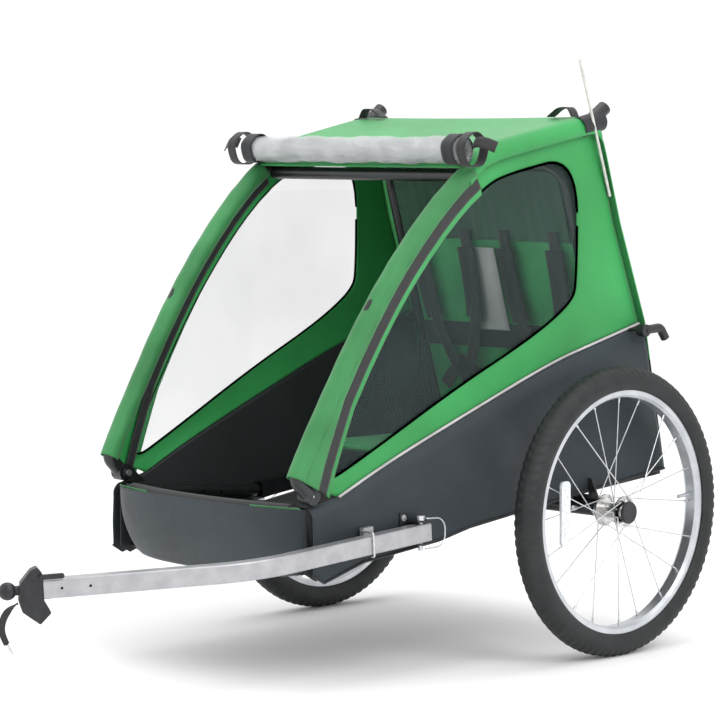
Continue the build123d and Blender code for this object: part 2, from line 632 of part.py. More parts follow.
# nose: a band of cloth round the front of the hoop, and the floor behind it
nose_low = 176.0
nose_corner_x = side_x(corner_y, skirt_out)
nose_plan = FilletPolyline((nose_corner_x, axle_y + corner_y - 2), (nose_corner_x - 12, axle_y + corner_y - 22),
                           (0, axle_y + hoop_nose_y - 15), (-nose_corner_x + 12, axle_y + corner_y - 22),
                           (-nose_corner_x, axle_y + corner_y - 2), radius=[12, 900, 12])
parts["nose_panel"] = [extrude(Pos(0, 0, nose_low) * trace(nose_plan, line_width=cloth_wall),
                               corner_z + 10 - nose_low)]
floor_low = floor_line + floor_rear_line
floor_slab = across_slab(floor_low + [(y, z + floor_wall) for y, z in floor_low[::-1]], frame_half_width + 60)
floor_front_y = floor_line[-1][0]
rail_inner = rail_width / 2 + 2
floor_plan = [(side_x(rail_rear_y, rail_out - rail_inner), rail_rear_y),
              (side_x(floor_front_y, rail_out - rail_inner), floor_front_y + 1),
              (side_x(floor_front_y, skirt_out - 1.0), floor_front_y),
              (side_x(corner_y + 10, skirt_out - 1.0), corner_y + 10), (nose_corner_x - 40, corner_y - 10)]
parts["floor_sheet"] = [floor_slab & plan_prism(floor_plan)]

seat = block(-seat_half_width, seat_half_width, seat_front_y, seat_rear_y, seat_top_z - seat_pad, seat_top_z)
parts["seat_base"] = [fillet(seat.edges(), 8)]

# rear cover: from the roof's rear edge down to the floor's rear end
rear_run = [skirt_bottom[-1]] + rear_line + [(34.0, 903.0)]
rear_profile = [(y + rear_step, z) for y, z in rear_run[:-1]] + [rear_run[-1]]
rear_slab = across_slab(rear_profile + [(y + cloth_wall, z + 0.5) for y, z in rear_profile[::-1]],
                        frame_half_width + 60)
rear_out = skirt_out + cloth_wall
rear = rear_slab & plan_prism([(side_x(320, rear_out), 320), (side_x(0, rear_out), 0)])
parts["rear_cover"] = [rear - stub_cuts]

# ---------------------------------------------------------------- tow arm
slope = math.radians(arm_slope)
bend = math.radians(arm_bend)
pin_at = Vector(arm_x, axle_y + arm_pin_y, arm_pin_z)
arm_along = Vector(0, -math.cos(slope), -math.sin(slope))
arm_up = Vector(0, -math.sin(slope), math.cos(slope))
arm_in = Vector(-1, 0, 0)


def arm_local(ahead, inwards, up=0.0):
    """A point ahead of the pin along the arm, towards the trailer's middle, and up."""
    return pin_at + arm_along * ahead + arm_in * inwards + arm_up * up


# the arm's last run is as long as the overall length leaves it
knob_reach = (axle_y + arm_pin_y + overall_length / 2 - knob_radius) / math.cos(slope)
bend_run = arm_bend_radius * math.sin(bend)
last_run = (knob_reach - arm_straight - bend_run) / math.cos(bend) - knob_ahead
knee = arm_straight + arm_bend_radius * math.tan(bend / 2)
arm_end_ahead = arm_straight + bend_run + last_run * math.cos(bend)
arm_end_in = arm_bend_radius * (1 - math.cos(bend)) + last_run * math.sin(bend)
arm_path = FilletPolyline(arm_local(-arm_tail, 0), arm_local(knee, 0), arm_local(arm_end_ahead, arm_end_in),
                          radius=arm_bend_radius)
bore_height = arm_height - 2 * arm_wall
bore_width = arm_width - 2 * arm_wall
arm_section = fillet(Rectangle(arm_height, arm_width).vertices(), arm_corner)
arm_bore = fillet(Rectangle(bore_height, bore_width).vertices(), arm_corner - arm_wall)
arm = sweep(Plane(origin=arm_path @ 0, x_dir=arm_up, z_dir=arm_path % 0) * (arm_section - arm_bore), path=arm_path)
pin_hole = pin_radius + 0.15
arm -= hole(pin_at, (0, 0, 1), pin_hole, 80)
nose_dir = (arm_path % 1).normalized()
nose_side = Vector(0, 0, 1).cross(nose_dir).normalized()
arm_end = arm_path @ 1
for hole_back in (28.0, 72.0):
    arm -= hole(arm_end - nose_dir * hole_back, nose_side, 2.2, 60)

# lug on the arm's inner side, which carries the wire clip
clip_at = arm_local(clip_ahead, 0)
lug_in = arm_width / 2 + 9.0
hinge_up = arm_height / 2 + 6.0
lug = Plane(origin=arm_local(clip_ahead, (lug_in + arm_width / 2) / 2, hinge_up - 9), x_dir=arm_in,
            z_dir=arm_along) * Box(lug_in - arm_width / 2 - 0.1, 26, 22)
hinge_in = (lug_in + arm_width / 2) / 2
lug -= hole(arm_local(clip_ahead, hinge_in, hinge_up), arm_along, clip_wire + running_gap, 60)
parts["tow_arm"] = [arm, lug]

# pin bracket: a fork round the arm's rear end, bolted through the cloth to the hoop
fork_top = arm_pin_z + arm_height / 2 + arm_fork_gap
fork_low = arm_pin_z - arm_height / 2 - arm_fork_gap
fork_out = arm_x + 7.5
fork_y = arm_pin_y
bracket = block(bracket_x, fork_out, fork_y - 14, fork_y + 14, fork_top, fork_top + plate_wall)
bracket += block(bracket_x, fork_out, fork_y - 14, fork_y + 14, fork_low - plate_wall, fork_low)
bracket += block(bracket_x, bracket_x + bracket_wall, fork_y - bracket_half, fork_y + bracket_half, fork_low - plate_wall,
                 max(fork_top + plate_wall, hoop_z(bracket_bolts[0]) + 9))
bracket -= hole(pin_at, (0, 0, 1), pin_hole, 80)
for y in bracket_bolts:
    bracket -= hole((bracket_x, axle_y + y, hoop_z(y)), (1, 0, 0), bolt_radius + running_gap, 20)
parts["tow_brackets"] = [bracket]

# lock pin with a ring head, and the wire bail that keeps it in
pin_seat = fork_top + plate_wall
pin_top = pin_seat + pin_head_length
pin = rod((arm_x, pin_at.Y, pin_top - pin_length), (arm_x, pin_at.Y, pin_top), pin_radius)
pin += rod((arm_x, pin_at.Y, pin_seat + 0.4), (arm_x, pin_at.Y, pin_top), pin_head_radius)
eye_z = (pin_seat + pin_top) / 2 + 0.5
pin -= hole((arm_x, pin_at.Y, eye_z), (1, 0, 0), bail_wire + running_gap, 40)
parts["lock_pin"] = [pin]
bail_low = pin_top - pin_length + 5
bail_x = arm_x + arm_width / 2 + bail_wire + 1.2
bail_points = [Vector(arm_x - pin_head_radius - 1, pin_at.Y, eye_z), Vector(bail_x, pin_at.Y, eye_z),
               Vector(bail_x, pin_at.Y + bail_reach, eye_z - 2), Vector(bail_x, pin_at.Y + bail_reach, bail_low),
               Vector(bail_x, pin_at.Y - 4, bail_low)]
parts["pin_bail"] = [round_tube(bail_points, [1.6, 20.0, 20.0], bail_wire)]

# square wire clip: a hinged wire that closes over the arm
wire_out = -arm_width / 2 - clip_wire - 1.0
wire_low = -arm_height / 2 - clip_wire - 2.0
clip_front = clip_ahead + 16.0
clip_points = [arm_local(clip_ahead - 12.5, hinge_in, hinge_up), arm_local(clip_front, hinge_in, hinge_up),
               arm_local(clip_front, wire_out, hinge_up), arm_local(clip_front, wire_out, wire_low),
               arm_local(clip_front, wire_out + clip_foot + 3, wire_low)]
parts["wire_clip"] = [round_tube(clip_points, [3.0, 3.0, 2.5], clip_wire)]

# ---------------------------------------------------------------- hitch
hitch_plane = Plane(origin=arm_end + nose_dir * 0.3, x_dir=nose_dir, z_dir=nose_side)
if hitch_plane.y_dir.Z < 0:
    hitch_plane = Plane(origin=arm_end + nose_dir * 0.3, x_dir=nose_dir, z_dir=nose_side * -1)
outer = 1 if hitch_plane.z_dir.X > 0 else -1
hitch_face = make_face(Polyline(hitch_profile, close=True).edges())
hitch = extrude(hitch_plane * hitch_face, hitch_width / 2, both=True)
hitch = fillet(hitch.edges().filter_by(Axis(arm_end, hitch_plane.z_dir)), 3.0)
plug_face = fillet(Rectangle(bore_height - 0.4, bore_width - 0.4).vertices(), arm_corner - arm_wall)
hitch += extrude(Plane(origin=arm_end - nose_dir * 22, x_dir=arm_up, z_dir=nose_dir) * plug_face, 24)
hitch -= rod(arm_end + nose_dir * hitch_bore_start, arm_end + nose_dir * 80, neck_radius + running_gap)
lever_root = hitch_plane.from_local_coords(Vector(lever_pin[0], lever_pin[1], 0))
face_out = hitch_plane.z_dir * outer
lever_stud = rod(lever_root + face_out * (hitch_width / 2 - 2),
                 lever_root + face_out * (hitch_width / 2 + lock_lever_wall + 1.5), bolt_radius)
parts["hitch_block"] = [hitch + lever_stud]

knob_centre = arm_end + nose_dir * knob_ahead
neck = rod(arm_end + nose_dir * (hitch_bore_start + 1), knob_centre, neck_radius)
parts["hitch_knob"] = [neck + Pos(*knob_centre) * Sphere(knob_radius)]

lock_face = SlotCenterToCenter(lock_lever_length - lock_lever_height, lock_lever_height)
lock_plane = Plane(origin=lever_root + face_out * (hitch_width / 2 + 0.5), x_dir=nose_dir * -1, z_dir=face_out)
lock = extrude(lock_plane * (Pos((lock_lever_length - lock_lever_height) / 2, 0) * lock_face), lock_lever_wall)
lock -= hole(lever_root, face_out, bolt_radius + running_gap, 80)
parts["lock_lever"] = [lock]

strap_points = [hitch_plane.from_local_coords(Vector(a, z, 0)) for a, z in strap_route]
strap_bends = []
for i in range(1, len(strap_points) - 1):
    run_in = strap_points[i] - strap_points[i - 1]
    run_out = strap_points[i + 1] - strap_points[i]
    turn = run_in.get_angle(run_out)
    strap_bends.append(0.45 * min(run_in.length, run_out.length) / math.tan(math.radians(turn / 2)))
print("strap bend radii", [round(r, 1) for r in strap_bends])
strap_path = FilletPolyline(*strap_points, radius=strap_bends)
strap_start = Plane(origin=strap_path @ 0, x_dir=hitch_plane.z_dir, z_dir=strap_path % 0)
parts["safety_strap"] = [sweep(strap_start * Rectangle(strap_width, strap_wall), path=strap_path)]
print("strap length", round(strap_path.length, 1))
hook_dir = (strap_path % 1).normalized()
hook_plane = Plane(origin=strap_path @ 1, x_dir=hitch_plane.z_dir, z_dir=hook_dir).offset(0.2)
hook_face = fillet(Rectangle(strap_width, 2 * strap_wall).vertices(), 1.5)
parts["strap_hook"] = [extrude(hook_plane * hook_face, hook_length)]

# ---------------------------------------------------------------- write the files
for name, solids in parts.items():
    flat = []
    for s in solids:
        flat.extend(s.solids())
    shape = flat[0] if len(flat) == 1 else Compound(children=flat)
    export_step(shape, "parts/" + name + ".step")
print(len(parts), "nodes")
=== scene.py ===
# %% [markdown]
# A child bicycle trailer.  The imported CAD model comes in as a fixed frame: wheels, tubes, brackets and the
# tow arm.  This lesson gives every CAD part a finish and sews the cloth body, the windows and the straps
# over it as numpy surfaces.

# %% Load the frame
import json
import math
import bpy
import numpy as np
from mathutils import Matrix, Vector


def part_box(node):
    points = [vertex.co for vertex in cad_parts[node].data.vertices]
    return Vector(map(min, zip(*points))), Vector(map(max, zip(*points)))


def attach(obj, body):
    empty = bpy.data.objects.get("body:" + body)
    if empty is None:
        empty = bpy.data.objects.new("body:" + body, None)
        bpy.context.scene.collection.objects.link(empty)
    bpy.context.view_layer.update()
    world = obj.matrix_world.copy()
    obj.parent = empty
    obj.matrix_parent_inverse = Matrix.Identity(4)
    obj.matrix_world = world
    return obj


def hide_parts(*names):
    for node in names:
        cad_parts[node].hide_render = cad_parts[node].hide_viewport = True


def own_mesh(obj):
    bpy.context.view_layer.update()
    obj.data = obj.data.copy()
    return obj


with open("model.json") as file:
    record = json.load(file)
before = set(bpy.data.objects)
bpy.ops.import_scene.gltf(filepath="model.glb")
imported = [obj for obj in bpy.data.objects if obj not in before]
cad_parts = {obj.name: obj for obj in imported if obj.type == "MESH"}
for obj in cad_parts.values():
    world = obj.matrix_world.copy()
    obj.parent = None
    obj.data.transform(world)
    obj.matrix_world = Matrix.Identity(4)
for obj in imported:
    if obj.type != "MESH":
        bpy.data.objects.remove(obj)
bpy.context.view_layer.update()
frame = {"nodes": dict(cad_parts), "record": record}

NODES = frame["nodes"]
axle_low, axle_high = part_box("axle_tube")
AXLE_Y = (axle_low[1] + axle_high[1]) / 2
AXLE_Z = (axle_low[2] + axle_high[2]) / 2
HALF = 0.272                      # middle plane of a side tube at the axle
LEAN = math.tan(math.radians(3.35))
print("frame", len(NODES), "nodes, axle at", round(AXLE_Y, 3))

# %% [markdown]
# Camera first, so that everything is judged from the same place.  It stands ahead of the nose on the
# trailer's left, low, with a long lens.

# %% Camera
AZIMUTH = math.radians(45.66)
ELEVATION = math.radians(4.48)
camera_data = bpy.data.cameras.new("camera")
camera_data.lens = 144.15
camera_data.sensor_width = 36.0
camera_data.clip_end = 60.0
camera = bpy.data.objects.new("camera", camera_data)
bpy.context.scene.collection.objects.link(camera)
camera.location = (3.584, -3.764 + AXLE_Y, 0.898)
forward = Vector((-math.sin(AZIMUTH) * math.cos(ELEVATION), math.cos(AZIMUTH) * math.cos(ELEVATION),
                  -math.sin(ELEVATION)))
camera.rotation_euler = forward.to_track_quat("-Z", "Y").to_euler()
bpy.context.scene.camera = camera

# %% [markdown]
# Cloth is a surface with two parameters.  The helpers below turn a grid of points into a mesh, give it a UV
# map measured in metres so that a weave keeps its size, and add a wall with Solidify.

# %% Grid surfaces
def surface(name, points, wrap_u=False, wrap_v=False, wall=0.0, subdivide=0):
    """Mesh from points[u, v, xyz]: quads join neighbours; UV is arc length in metres along u and v."""
    rows, cols = points.shape[:2]
    u = np.arange(rows if wrap_u else rows - 1)
    v = np.arange(cols if wrap_v else cols - 1)
    uu, vv = np.meshgrid(u, v, indexing="ij")
    u1, v1 = (uu + 1) % rows, (vv + 1) % cols
    quads = np.stack([uu * cols + vv, u1 * cols + vv, u1 * cols + v1, uu * cols + v1], axis=-1).reshape(-1, 4)
    mesh = bpy.data.meshes.new(name)
    mesh.from_pydata(points.reshape(-1, 3).tolist(), [], quads.tolist())
    du = np.linalg.norm(np.diff(points, axis=0), axis=2).mean(axis=1)
    dv = np.linalg.norm(np.diff(points, axis=1), axis=2).mean(axis=0)
    su = np.concatenate([[0.0], np.cumsum(du)])
    sv = np.concatenate([[0.0], np.cumsum(dv)])
    su = np.append(su, su[-1] + (du[-1] if len(du) else 0))
    sv = np.append(sv, sv[-1] + (dv[-1] if len(dv) else 0))
    corner_u = np.stack([uu, uu + 1, uu + 1, uu], axis=-1).reshape(-1)
    corner_v = np.stack([vv, vv, vv + 1, vv + 1], axis=-1).reshape(-1)
    layer = mesh.uv_layers.new(name="UVMap")
    layer.data.foreach_set("uv", np.stack([su[corner_u], sv[corner_v]], axis=-1).ravel().astype(np.float32))
    mesh.polygons.foreach_set("use_smooth", np.ones(len(mesh.polygons), dtype=bool))
    mesh.update()
    piece = bpy.data.objects.new(name, mesh)
    bpy.context.scene.collection.objects.link(piece)
    if subdivide:
        sub = piece.modifiers.new("smooth", "SUBSURF")
        sub.levels = sub.render_levels = subdivide
    if wall:
        solid = piece.modifiers.new("wall", "SOLIDIFY")
        solid.thickness = wall
        solid.offset = 0.0
    return piece


def resample(points, count):
    """Points at even steps of arc length along a polyline."""
    points = np.asarray(points, dtype=float)
    steps = np.linalg.norm(np.diff(points, axis=0), axis=1)
    along = np.concatenate([[0.0], np.cumsum(steps)])
    want = np.linspace(0.0, along[-1], count)
    return np.stack([np.interp(want, along, points[:, k]) for k in range(points.shape[1])], axis=1)


def rounded(points, passes=3, closed=False):
    """Corner cutting: each pass puts two points on every run, a quarter in from its ends."""
    points = np.asarray(points, dtype=float)
    for _ in range(passes):
        ahead = np.roll(points, -1, axis=0) if closed else points[1:]
        here = points if closed else points[:-1]
        cut = np.stack([here * 0.75 + ahead * 0.25, here * 0.25 + ahead * 0.75], axis=1)
        cut = cut.reshape(-1, points.shape[1])
        points = cut if closed else np.vstack([points[:1], cut, points[-1:]])
    return points


def side(yz, out=0.0, sign=1):
    """Side-profile places (y from the axle, z) put on the leaning side plane, out metres outside it."""
    yz = np.asarray(yz, dtype=float)
    x = HALF + yz[..., 0] * LEAN + out
    return np.stack([sign * x, AXLE_Y + yz[..., 0], yz[..., 1]], axis=-1)


def strip(name, line, width_dir, half_width, bulge=0.0, wall=0.0012, cols=5):
    """A flat band along a line: line + width_dir * half_width * t, lifted by bulge * (1 - t squared)."""
    line = np.asarray(line, dtype=float)
    width_dir = np.broadcast_to(np.asarray(width_dir, dtype=float), line.shape)
    tangent = np.gradient(line, axis=0)
    normal = np.cross(tangent, width_dir)
    normal /= np.linalg.norm(normal, axis=1, keepdims=True) + 1e-9
    t = np.linspace(-1, 1, cols)
    half_width = np.broadcast_to(half_width, (len(line),))
    points = (line[:, None] + width_dir[:, None] * (half_width[:, None, None] * t[None, :, None])
              + normal[:, None] * (bulge * (1 - t ** 2))[None, :, None])
    return surface(name, points, wall=wall)


def tube(name, line, radius, sides=12, flat=1.0):
    """A closed bar along a line: rings of points in the plane across the tangent, capped at its ends."""
    line = np.asarray(line, dtype=float)
    tangent = np.gradient(line, axis=0)
    tangent /= np.linalg.norm(tangent, axis=1, keepdims=True)
    guide = np.array([0.0, 0.0, 1.0]) if abs(tangent[0, 2]) < 0.9 else np.array([1.0, 0.0, 0.0])
    first = np.cross(tangent, guide)
    first /= np.linalg.norm(first, axis=1, keepdims=True)
    second = np.cross(first, tangent)
    angle = np.linspace(0, 2 * np.pi, sides, endpoint=False)
    radius = np.broadcast_to(radius, (len(line),)).copy()
    radius = np.concatenate([[1e-5], radius, [1e-5]])
    pick = np.concatenate([[0], np.arange(len(line)), [len(line) - 1]])
    points = (line[pick][:, None] + radius[:, None, None]
              * (first[pick][:, None] * np.cos(angle)[None, :, None]
                 + second[pick][:, None] * (flat * np.sin(angle))[None, :, None]))
    return surface(name, points, wrap_v=True)


def finish_piece(piece, body, material, nodes=(), fold=None):
    """Rides a piece on its body, gives it its material and slot, hides the CAD parts it replaces, and with
    fold gives it a mesh of its own.
    """
    piece.data.materials.clear()
    piece.data.materials.append(material)
    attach(piece, body)
    if nodes:
        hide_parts(*nodes)
    if fold:
        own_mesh(piece)
    return piece


def declare_sheet(points, ring=False):
    """Works out the area of a cloth grid as the sum of its quads and its spread along x, y and z; with ring
    it first closes the grid round u.  Neither number is used further.

    A narrow ring with a hole in it is counted as one strip: as long as the ring's middle line, and as wide
    as its area divided by that length."""
    across = points[1:, 1:] - points[:-1, :-1]
    other = points[1:, :-1] - points[:-1, 1:]
    if ring:
        points = np.concatenate([points, points[:1]], axis=0)
        across = points[1:, 1:] - points[:-1, :-1]
        other = points[1:, :-1] - points[:-1, 1:]
    area = float(np.linalg.norm(np.cross(across, other), axis=2).sum() / 2)
    spread = points.reshape(-1, 3).max(axis=0) - points.reshape(-1, 3).min(axis=0)
    if ring and area > 0.3 * spread[1] * spread[2]:
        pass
    elif ring:
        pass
    else:
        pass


# %% [markdown]
# Finishes.  Two node groups serve the materials: a weave that gives a height and a fine colour mask, and soft
# creases, which cloth, film, paint and plastic all read.

# %% Node groups
def new_group(name, inputs, outputs):
    """An empty shader group with float inputs (name, default) and float outputs."""
    group = bpy.data.node_groups.new(name, "ShaderNodeTree")
    for label, value in inputs:
        socket = group.interface.new_socket(label, in_out="INPUT", socket_type="NodeSocketFloat")
        socket.default_value = value
    group.interface.new_socket("Vector", in_out="INPUT", socket_type="NodeSocketVector")
    for label in outputs:
        group.interface.new_socket(label, in_out="OUTPUT", socket_type="NodeSocketFloat")
    return group, group.nodes.new("NodeGroupInput"), group.nodes.new("NodeGroupOutput")


def math_node(tree, operation, a, b):
    node = tree.nodes.new("ShaderNodeMath")
    node.operation = operation
    for socket, value in zip(node.inputs, (a, b)):
        if isinstance(value, (int, float)):
            socket.default_value = value
        else:
            tree.links.new(value, socket)
    return node.outputs[0]


def make_weave():
    """Two crossed sine bands: threads per metre set by Threads; a coarser ripstop grid by Grid."""
    group, start, end = new_group("weave", [("Threads", 600.0), ("Grid", 0.0)], ["Height", "Mask"])
    split = group.nodes.new("ShaderNodeSeparateXYZ")
    group.links.new(start.outputs["Vector"], split.inputs[0])
    waves = []
    for axis in ("X", "Y"):
        turn = math_node(group, "MULTIPLY", split.outputs[axis], start.outputs["Threads"])
        waves.append(math_node(group, "SINE", math_node(group, "MULTIPLY", turn, math.pi), 0.0))
    product = math_node(group, "MULTIPLY", waves[0], waves[1])
    height = math_node(group, "ABSOLUTE", product, 0.0)
    grid = []
    for axis in ("X", "Y"):
        cell = math_node(group, "FRACT", math_node(group, "MULTIPLY", split.outputs[axis], 170.0), 0.0)
        grid.append(math_node(group, "LESS_THAN", cell, 0.12))
    lines = math_node(group, "MULTIPLY", math_node(group, "MAXIMUM", grid[0], grid[1]), start.outputs["Grid"])
    group.links.new(math_node(group, "ADD", height, lines), end.inputs["Height"])
    group.links.new(math_node(group, "MULTIPLY_ADD", product, 0.5), end.inputs["Mask"])
    return group


def make_creases():
    """Stretched noise: long soft folds plus a finer crumple, both between 0 and 1."""
    group, start, end = new_group("creases", [("Scale", 6.0), ("Fine", 60.0)], ["Folds", "Crumple"])
    for label, scale, detail in (("Folds", "Scale", 3.0), ("Crumple", "Fine", 6.0)):
        noise = group.nodes.new("ShaderNodeTexNoise")
        noise.inputs["Detail"].default_value = detail
        group.links.new(start.outputs["Vector"], noise.inputs["Vector"])
        group.links.new(start.outputs[scale], noise.inputs["Scale"])
        group.links.new(noise.outputs["Fac"], end.inputs[label])
    return group


WEAVE = make_weave()
CREASES = make_creases()


# %% Material makers
def new_material(name):
    material = bpy.data.materials.new(name)
    material.use_nodes = True
    tree = material.node_tree
    return material, tree, tree.nodes["Principled BSDF"]


def group_node(tree, group, vector, **values):
    node = tree.nodes.new("ShaderNodeGroup")
    node.node_tree = group
    tree.links.new(vector, node.inputs["Vector"])
    for label, value in values.items():
        node.inputs[label].default_value = value
    return node


def ramp_colour(tree, fac, dark, light, low=0.3, high=0.7):
    """A colour that runs from dark to light as a mask rises."""
    ramp = tree.nodes.new("ShaderNodeValToRGB")
    ramp.color_ramp.elements[0].position = low
    ramp.color_ramp.elements[1].position = high
    ramp.color_ramp.elements[0].color = (*dark, 1)
    ramp.color_ramp.elements[1].color = (*light, 1)
    tree.links.new(fac, ramp.inputs[0])
    return ramp.outputs[0]


def bump_chain(tree, shader, heights):
    """Bump nodes in a row, each with its own height, strength and distance, feeding the shader's Normal."""
    last = None
    for height, strength, distance in heights:
        bump = tree.nodes.new("ShaderNodeBump")
        bump.inputs["Strength"].default_value = strength
        bump.inputs["Distance"].default_value = distance
        tree.links.new(height, bump.inputs["Height"])
        if last:
            tree.links.new(last, bump.inputs["Normal"])
        last = bump.outputs[0]
    tree.links.new(last, shader.inputs["Normal"])


def cloth(name, dark, light, rough=0.55, threads=500.0, grid=0.0, folds=5.0, depth=0.006, sheen=0.15,
          coat=0.0):
    """Woven cloth: weave on the UV, soft folds on Object coordinates, and painted shade: the colour is darker
    in the fold hollows and lighter on the fold ridges.
    """
    material, tree, shader = new_material(name)
    place = tree.nodes.new("ShaderNodeTexCoord")
    weave = group_node(tree, WEAVE, place.outputs["UV"], Threads=threads, Grid=grid)
    crease = group_node(tree, CREASES, place.outputs["Object"], Scale=folds, Fine=70.0)
    # painted shade: the fold height that drives the bump below also darkens the colour in the hollows
    tree.links.new(ramp_colour(tree, crease.outputs["Folds"], dark, light), shader.inputs["Base Color"])
    level = math_node(tree, "MULTIPLY_ADD", crease.outputs["Crumple"], 0.2)
    tree.nodes[-1].inputs[2].default_value = rough - 0.1
    tree.links.new(level, shader.inputs["Roughness"])
    shader.inputs["Sheen Weight"].default_value = sheen
    shader.inputs["Coat Weight"].default_value = coat
    shader.inputs["Coat Roughness"].default_value = 0.3
    bump_chain(tree, shader, [(crease.outputs["Folds"], 0.5, depth), (crease.outputs["Crumple"], 0.25, 0.001),
                              (weave.outputs["Height"], 0.35, 0.0004)])
    return material


def hard(name, dark, light, rough=0.4, metallic=0.0, grain=40.0, depth=0.0004, coat=0.0, stretch=(1, 1, 1)):
    """Paint, plastic, rubber or metal: noise drives colour drift, uneven roughness and a fine skin."""
    material, tree, shader = new_material(name)
    place = tree.nodes.new("ShaderNodeTexCoord")
    mapping = tree.nodes.new("ShaderNodeMapping")
    mapping.inputs["Scale"].default_value = stretch
    tree.links.new(place.outputs["Object"], mapping.inputs["Vector"])
    crease = group_node(tree, CREASES, mapping.outputs[0], Scale=grain, Fine=grain * 18)
    tree.links.new(ramp_colour(tree, crease.outputs["Folds"], dark, light), shader.inputs["Base Color"])
    level = math_node(tree, "MULTIPLY_ADD", crease.outputs["Crumple"], 0.22)
    tree.nodes[-1].inputs[2].default_value = rough - 0.11
    tree.links.new(level, shader.inputs["Roughness"])
    shader.inputs["Metallic"].default_value = metallic
    shader.inputs["Coat Weight"].default_value = coat
    bump_chain(tree, shader, [(crease.outputs["Crumple"], 0.3, depth)])
    return material


GREEN = cloth("green_nylon", (0.012, 0.235, 0.045), (0.026, 0.345, 0.082), rough=0.5, grid=0.35, folds=4.0,
              depth=0.004)
GREEN_SLEEVE = cloth("green_sleeve", (0.018, 0.165, 0.042), (0.034, 0.235, 0.066), rough=0.6, folds=9.0,
                     depth=0.006)
GREEN_SEAT = cloth("green_seat", (0.010, 0.22, 0.055), (0.026, 0.37, 0.10), rough=0.55, folds=7.0,
                   depth=0.012)
SLATE = cloth("slate_canvas", (0.006, 0.013, 0.019), (0.013, 0.025, 0.033), rough=0.6, folds=5.0, depth=0.010)
BLACK_CLOTH = cloth("black_canvas", (0.003, 0.004, 0.006), (0.008, 0.010, 0.013), rough=0.65, folds=8.0,
                    depth=0.006)
WEBBING = cloth("black_webbing", (0.006, 0.006, 0.007), (0.013, 0.013, 0.015), rough=0.6, threads=900.0,
                folds=14.0,
                depth=0.002)
TAPE = cloth("zip_tape", (0.004, 0.004, 0.005), (0.010, 0.010, 0.012), rough=0.5, threads=1200.0, folds=30.0,
             depth=0.001)
PIPING = cloth("reflective_piping", (0.38, 0.36, 0.37), (0.62, 0.58, 0.60), rough=0.4, threads=1500.0,
               folds=20.0,
               depth=0.0006)
MESH_BAND = cloth("headrest_mesh", (0.010, 0.06, 0.03), (0.02, 0.10, 0.05), rough=0.7, threads=300.0,
                  folds=6.0,
                  depth=0.006)
LABEL = cloth("blank_label", (0.42, 0.43, 0.44), (0.55, 0.56, 0.56), rough=0.6, threads=700.0, folds=10.0,
              depth=0.001)
BLACK_PAINT = hard("black_powder_coat", (0.005, 0.006, 0.007), (0.012, 0.013, 0.015), rough=0.38, grain=30.0,
                   coat=0.15)
BLACK_PLASTIC = hard("black_moulded", (0.006, 0.006, 0.008), (0.016, 0.017, 0.021), rough=0.42, grain=60.0)
RUBBER = hard("tyre_rubber", (0.005, 0.006, 0.007), (0.014, 0.016, 0.017), rough=0.62, grain=35.0,
              depth=0.001)
RIM = hard("rim_alloy", (0.50, 0.52, 0.55), (0.66, 0.68, 0.71), rough=0.34, metallic=0.9, grain=25.0)
STEEL = hard("zinc_steel", (0.55, 0.56, 0.58), (0.74, 0.75, 0.77), rough=0.30, metallic=0.95, grain=80.0)
CHROME = hard("hub_chrome", (0.45, 0.44, 0.43), (0.75, 0.74, 0.73), rough=0.2, metallic=1.0, grain=50.0)
ARM = hard("silver_paint", (0.36, 0.36, 0.38), (0.45, 0.45, 0.47), rough=0.38, metallic=0.65, grain=45.0,
           coat=0.2)
REFLECTOR = hard("clear_reflector", (0.55, 0.58, 0.62), (0.80, 0.83, 0.86), rough=0.2, metallic=0.2,
                 grain=200.0,
                 coat=0.6)
ROD = hard("rod_fibreglass", (0.50, 0.50, 0.47), (0.66, 0.66, 0.62), rough=0.4, grain=90.0)


def make_film(name, tint, alpha, rough=0.12, folds=9.0, depth=0.006):
    """Clear vinyl: a thin glossy skin, mostly see-through, whose gloss breaks on soft waves; a painted
    highlight makes its colour lighter on the wave crests.
    """
    material, tree, shader = new_material(name)
    place = tree.nodes.new("ShaderNodeTexCoord")
    crease = group_node(tree, CREASES, place.outputs["Object"], Scale=folds, Fine=40.0)
    # painted highlight: the colour lightens towards the crests of the same waves that drive the bump
    tree.links.new(ramp_colour(tree, crease.outputs["Folds"], tint, tuple(min(1, c * 1.25) for c in tint)),
                   shader.inputs["Base Color"])
    level = math_node(tree, "MULTIPLY_ADD", crease.outputs["Folds"], 0.14)
    tree.nodes[-1].inputs[2].default_value = alpha - 0.07
    tree.links.new(level, shader.inputs["Alpha"])
    shader.inputs["Roughness"].default_value = rough
    shader.inputs["Coat Weight"].default_value = 0.5
    bump_chain(tree, shader, [(crease.outputs["Folds"], 0.5, depth),
                              (crease.outputs["Crumple"], 0.15, 0.001)])
    return material


FILM = make_film("window_film", (0.05, 0.085, 0.085), 0.12, rough=0.06, folds=5.0, depth=0.004)
ROLL_FILM = make_film("rolled_film", (0.62, 0.64, 0.65), 0.30, rough=0.10, folds=22.0, depth=0.012)

# %% [markdown]
# The CAD parts keep their shape and only take a finish.

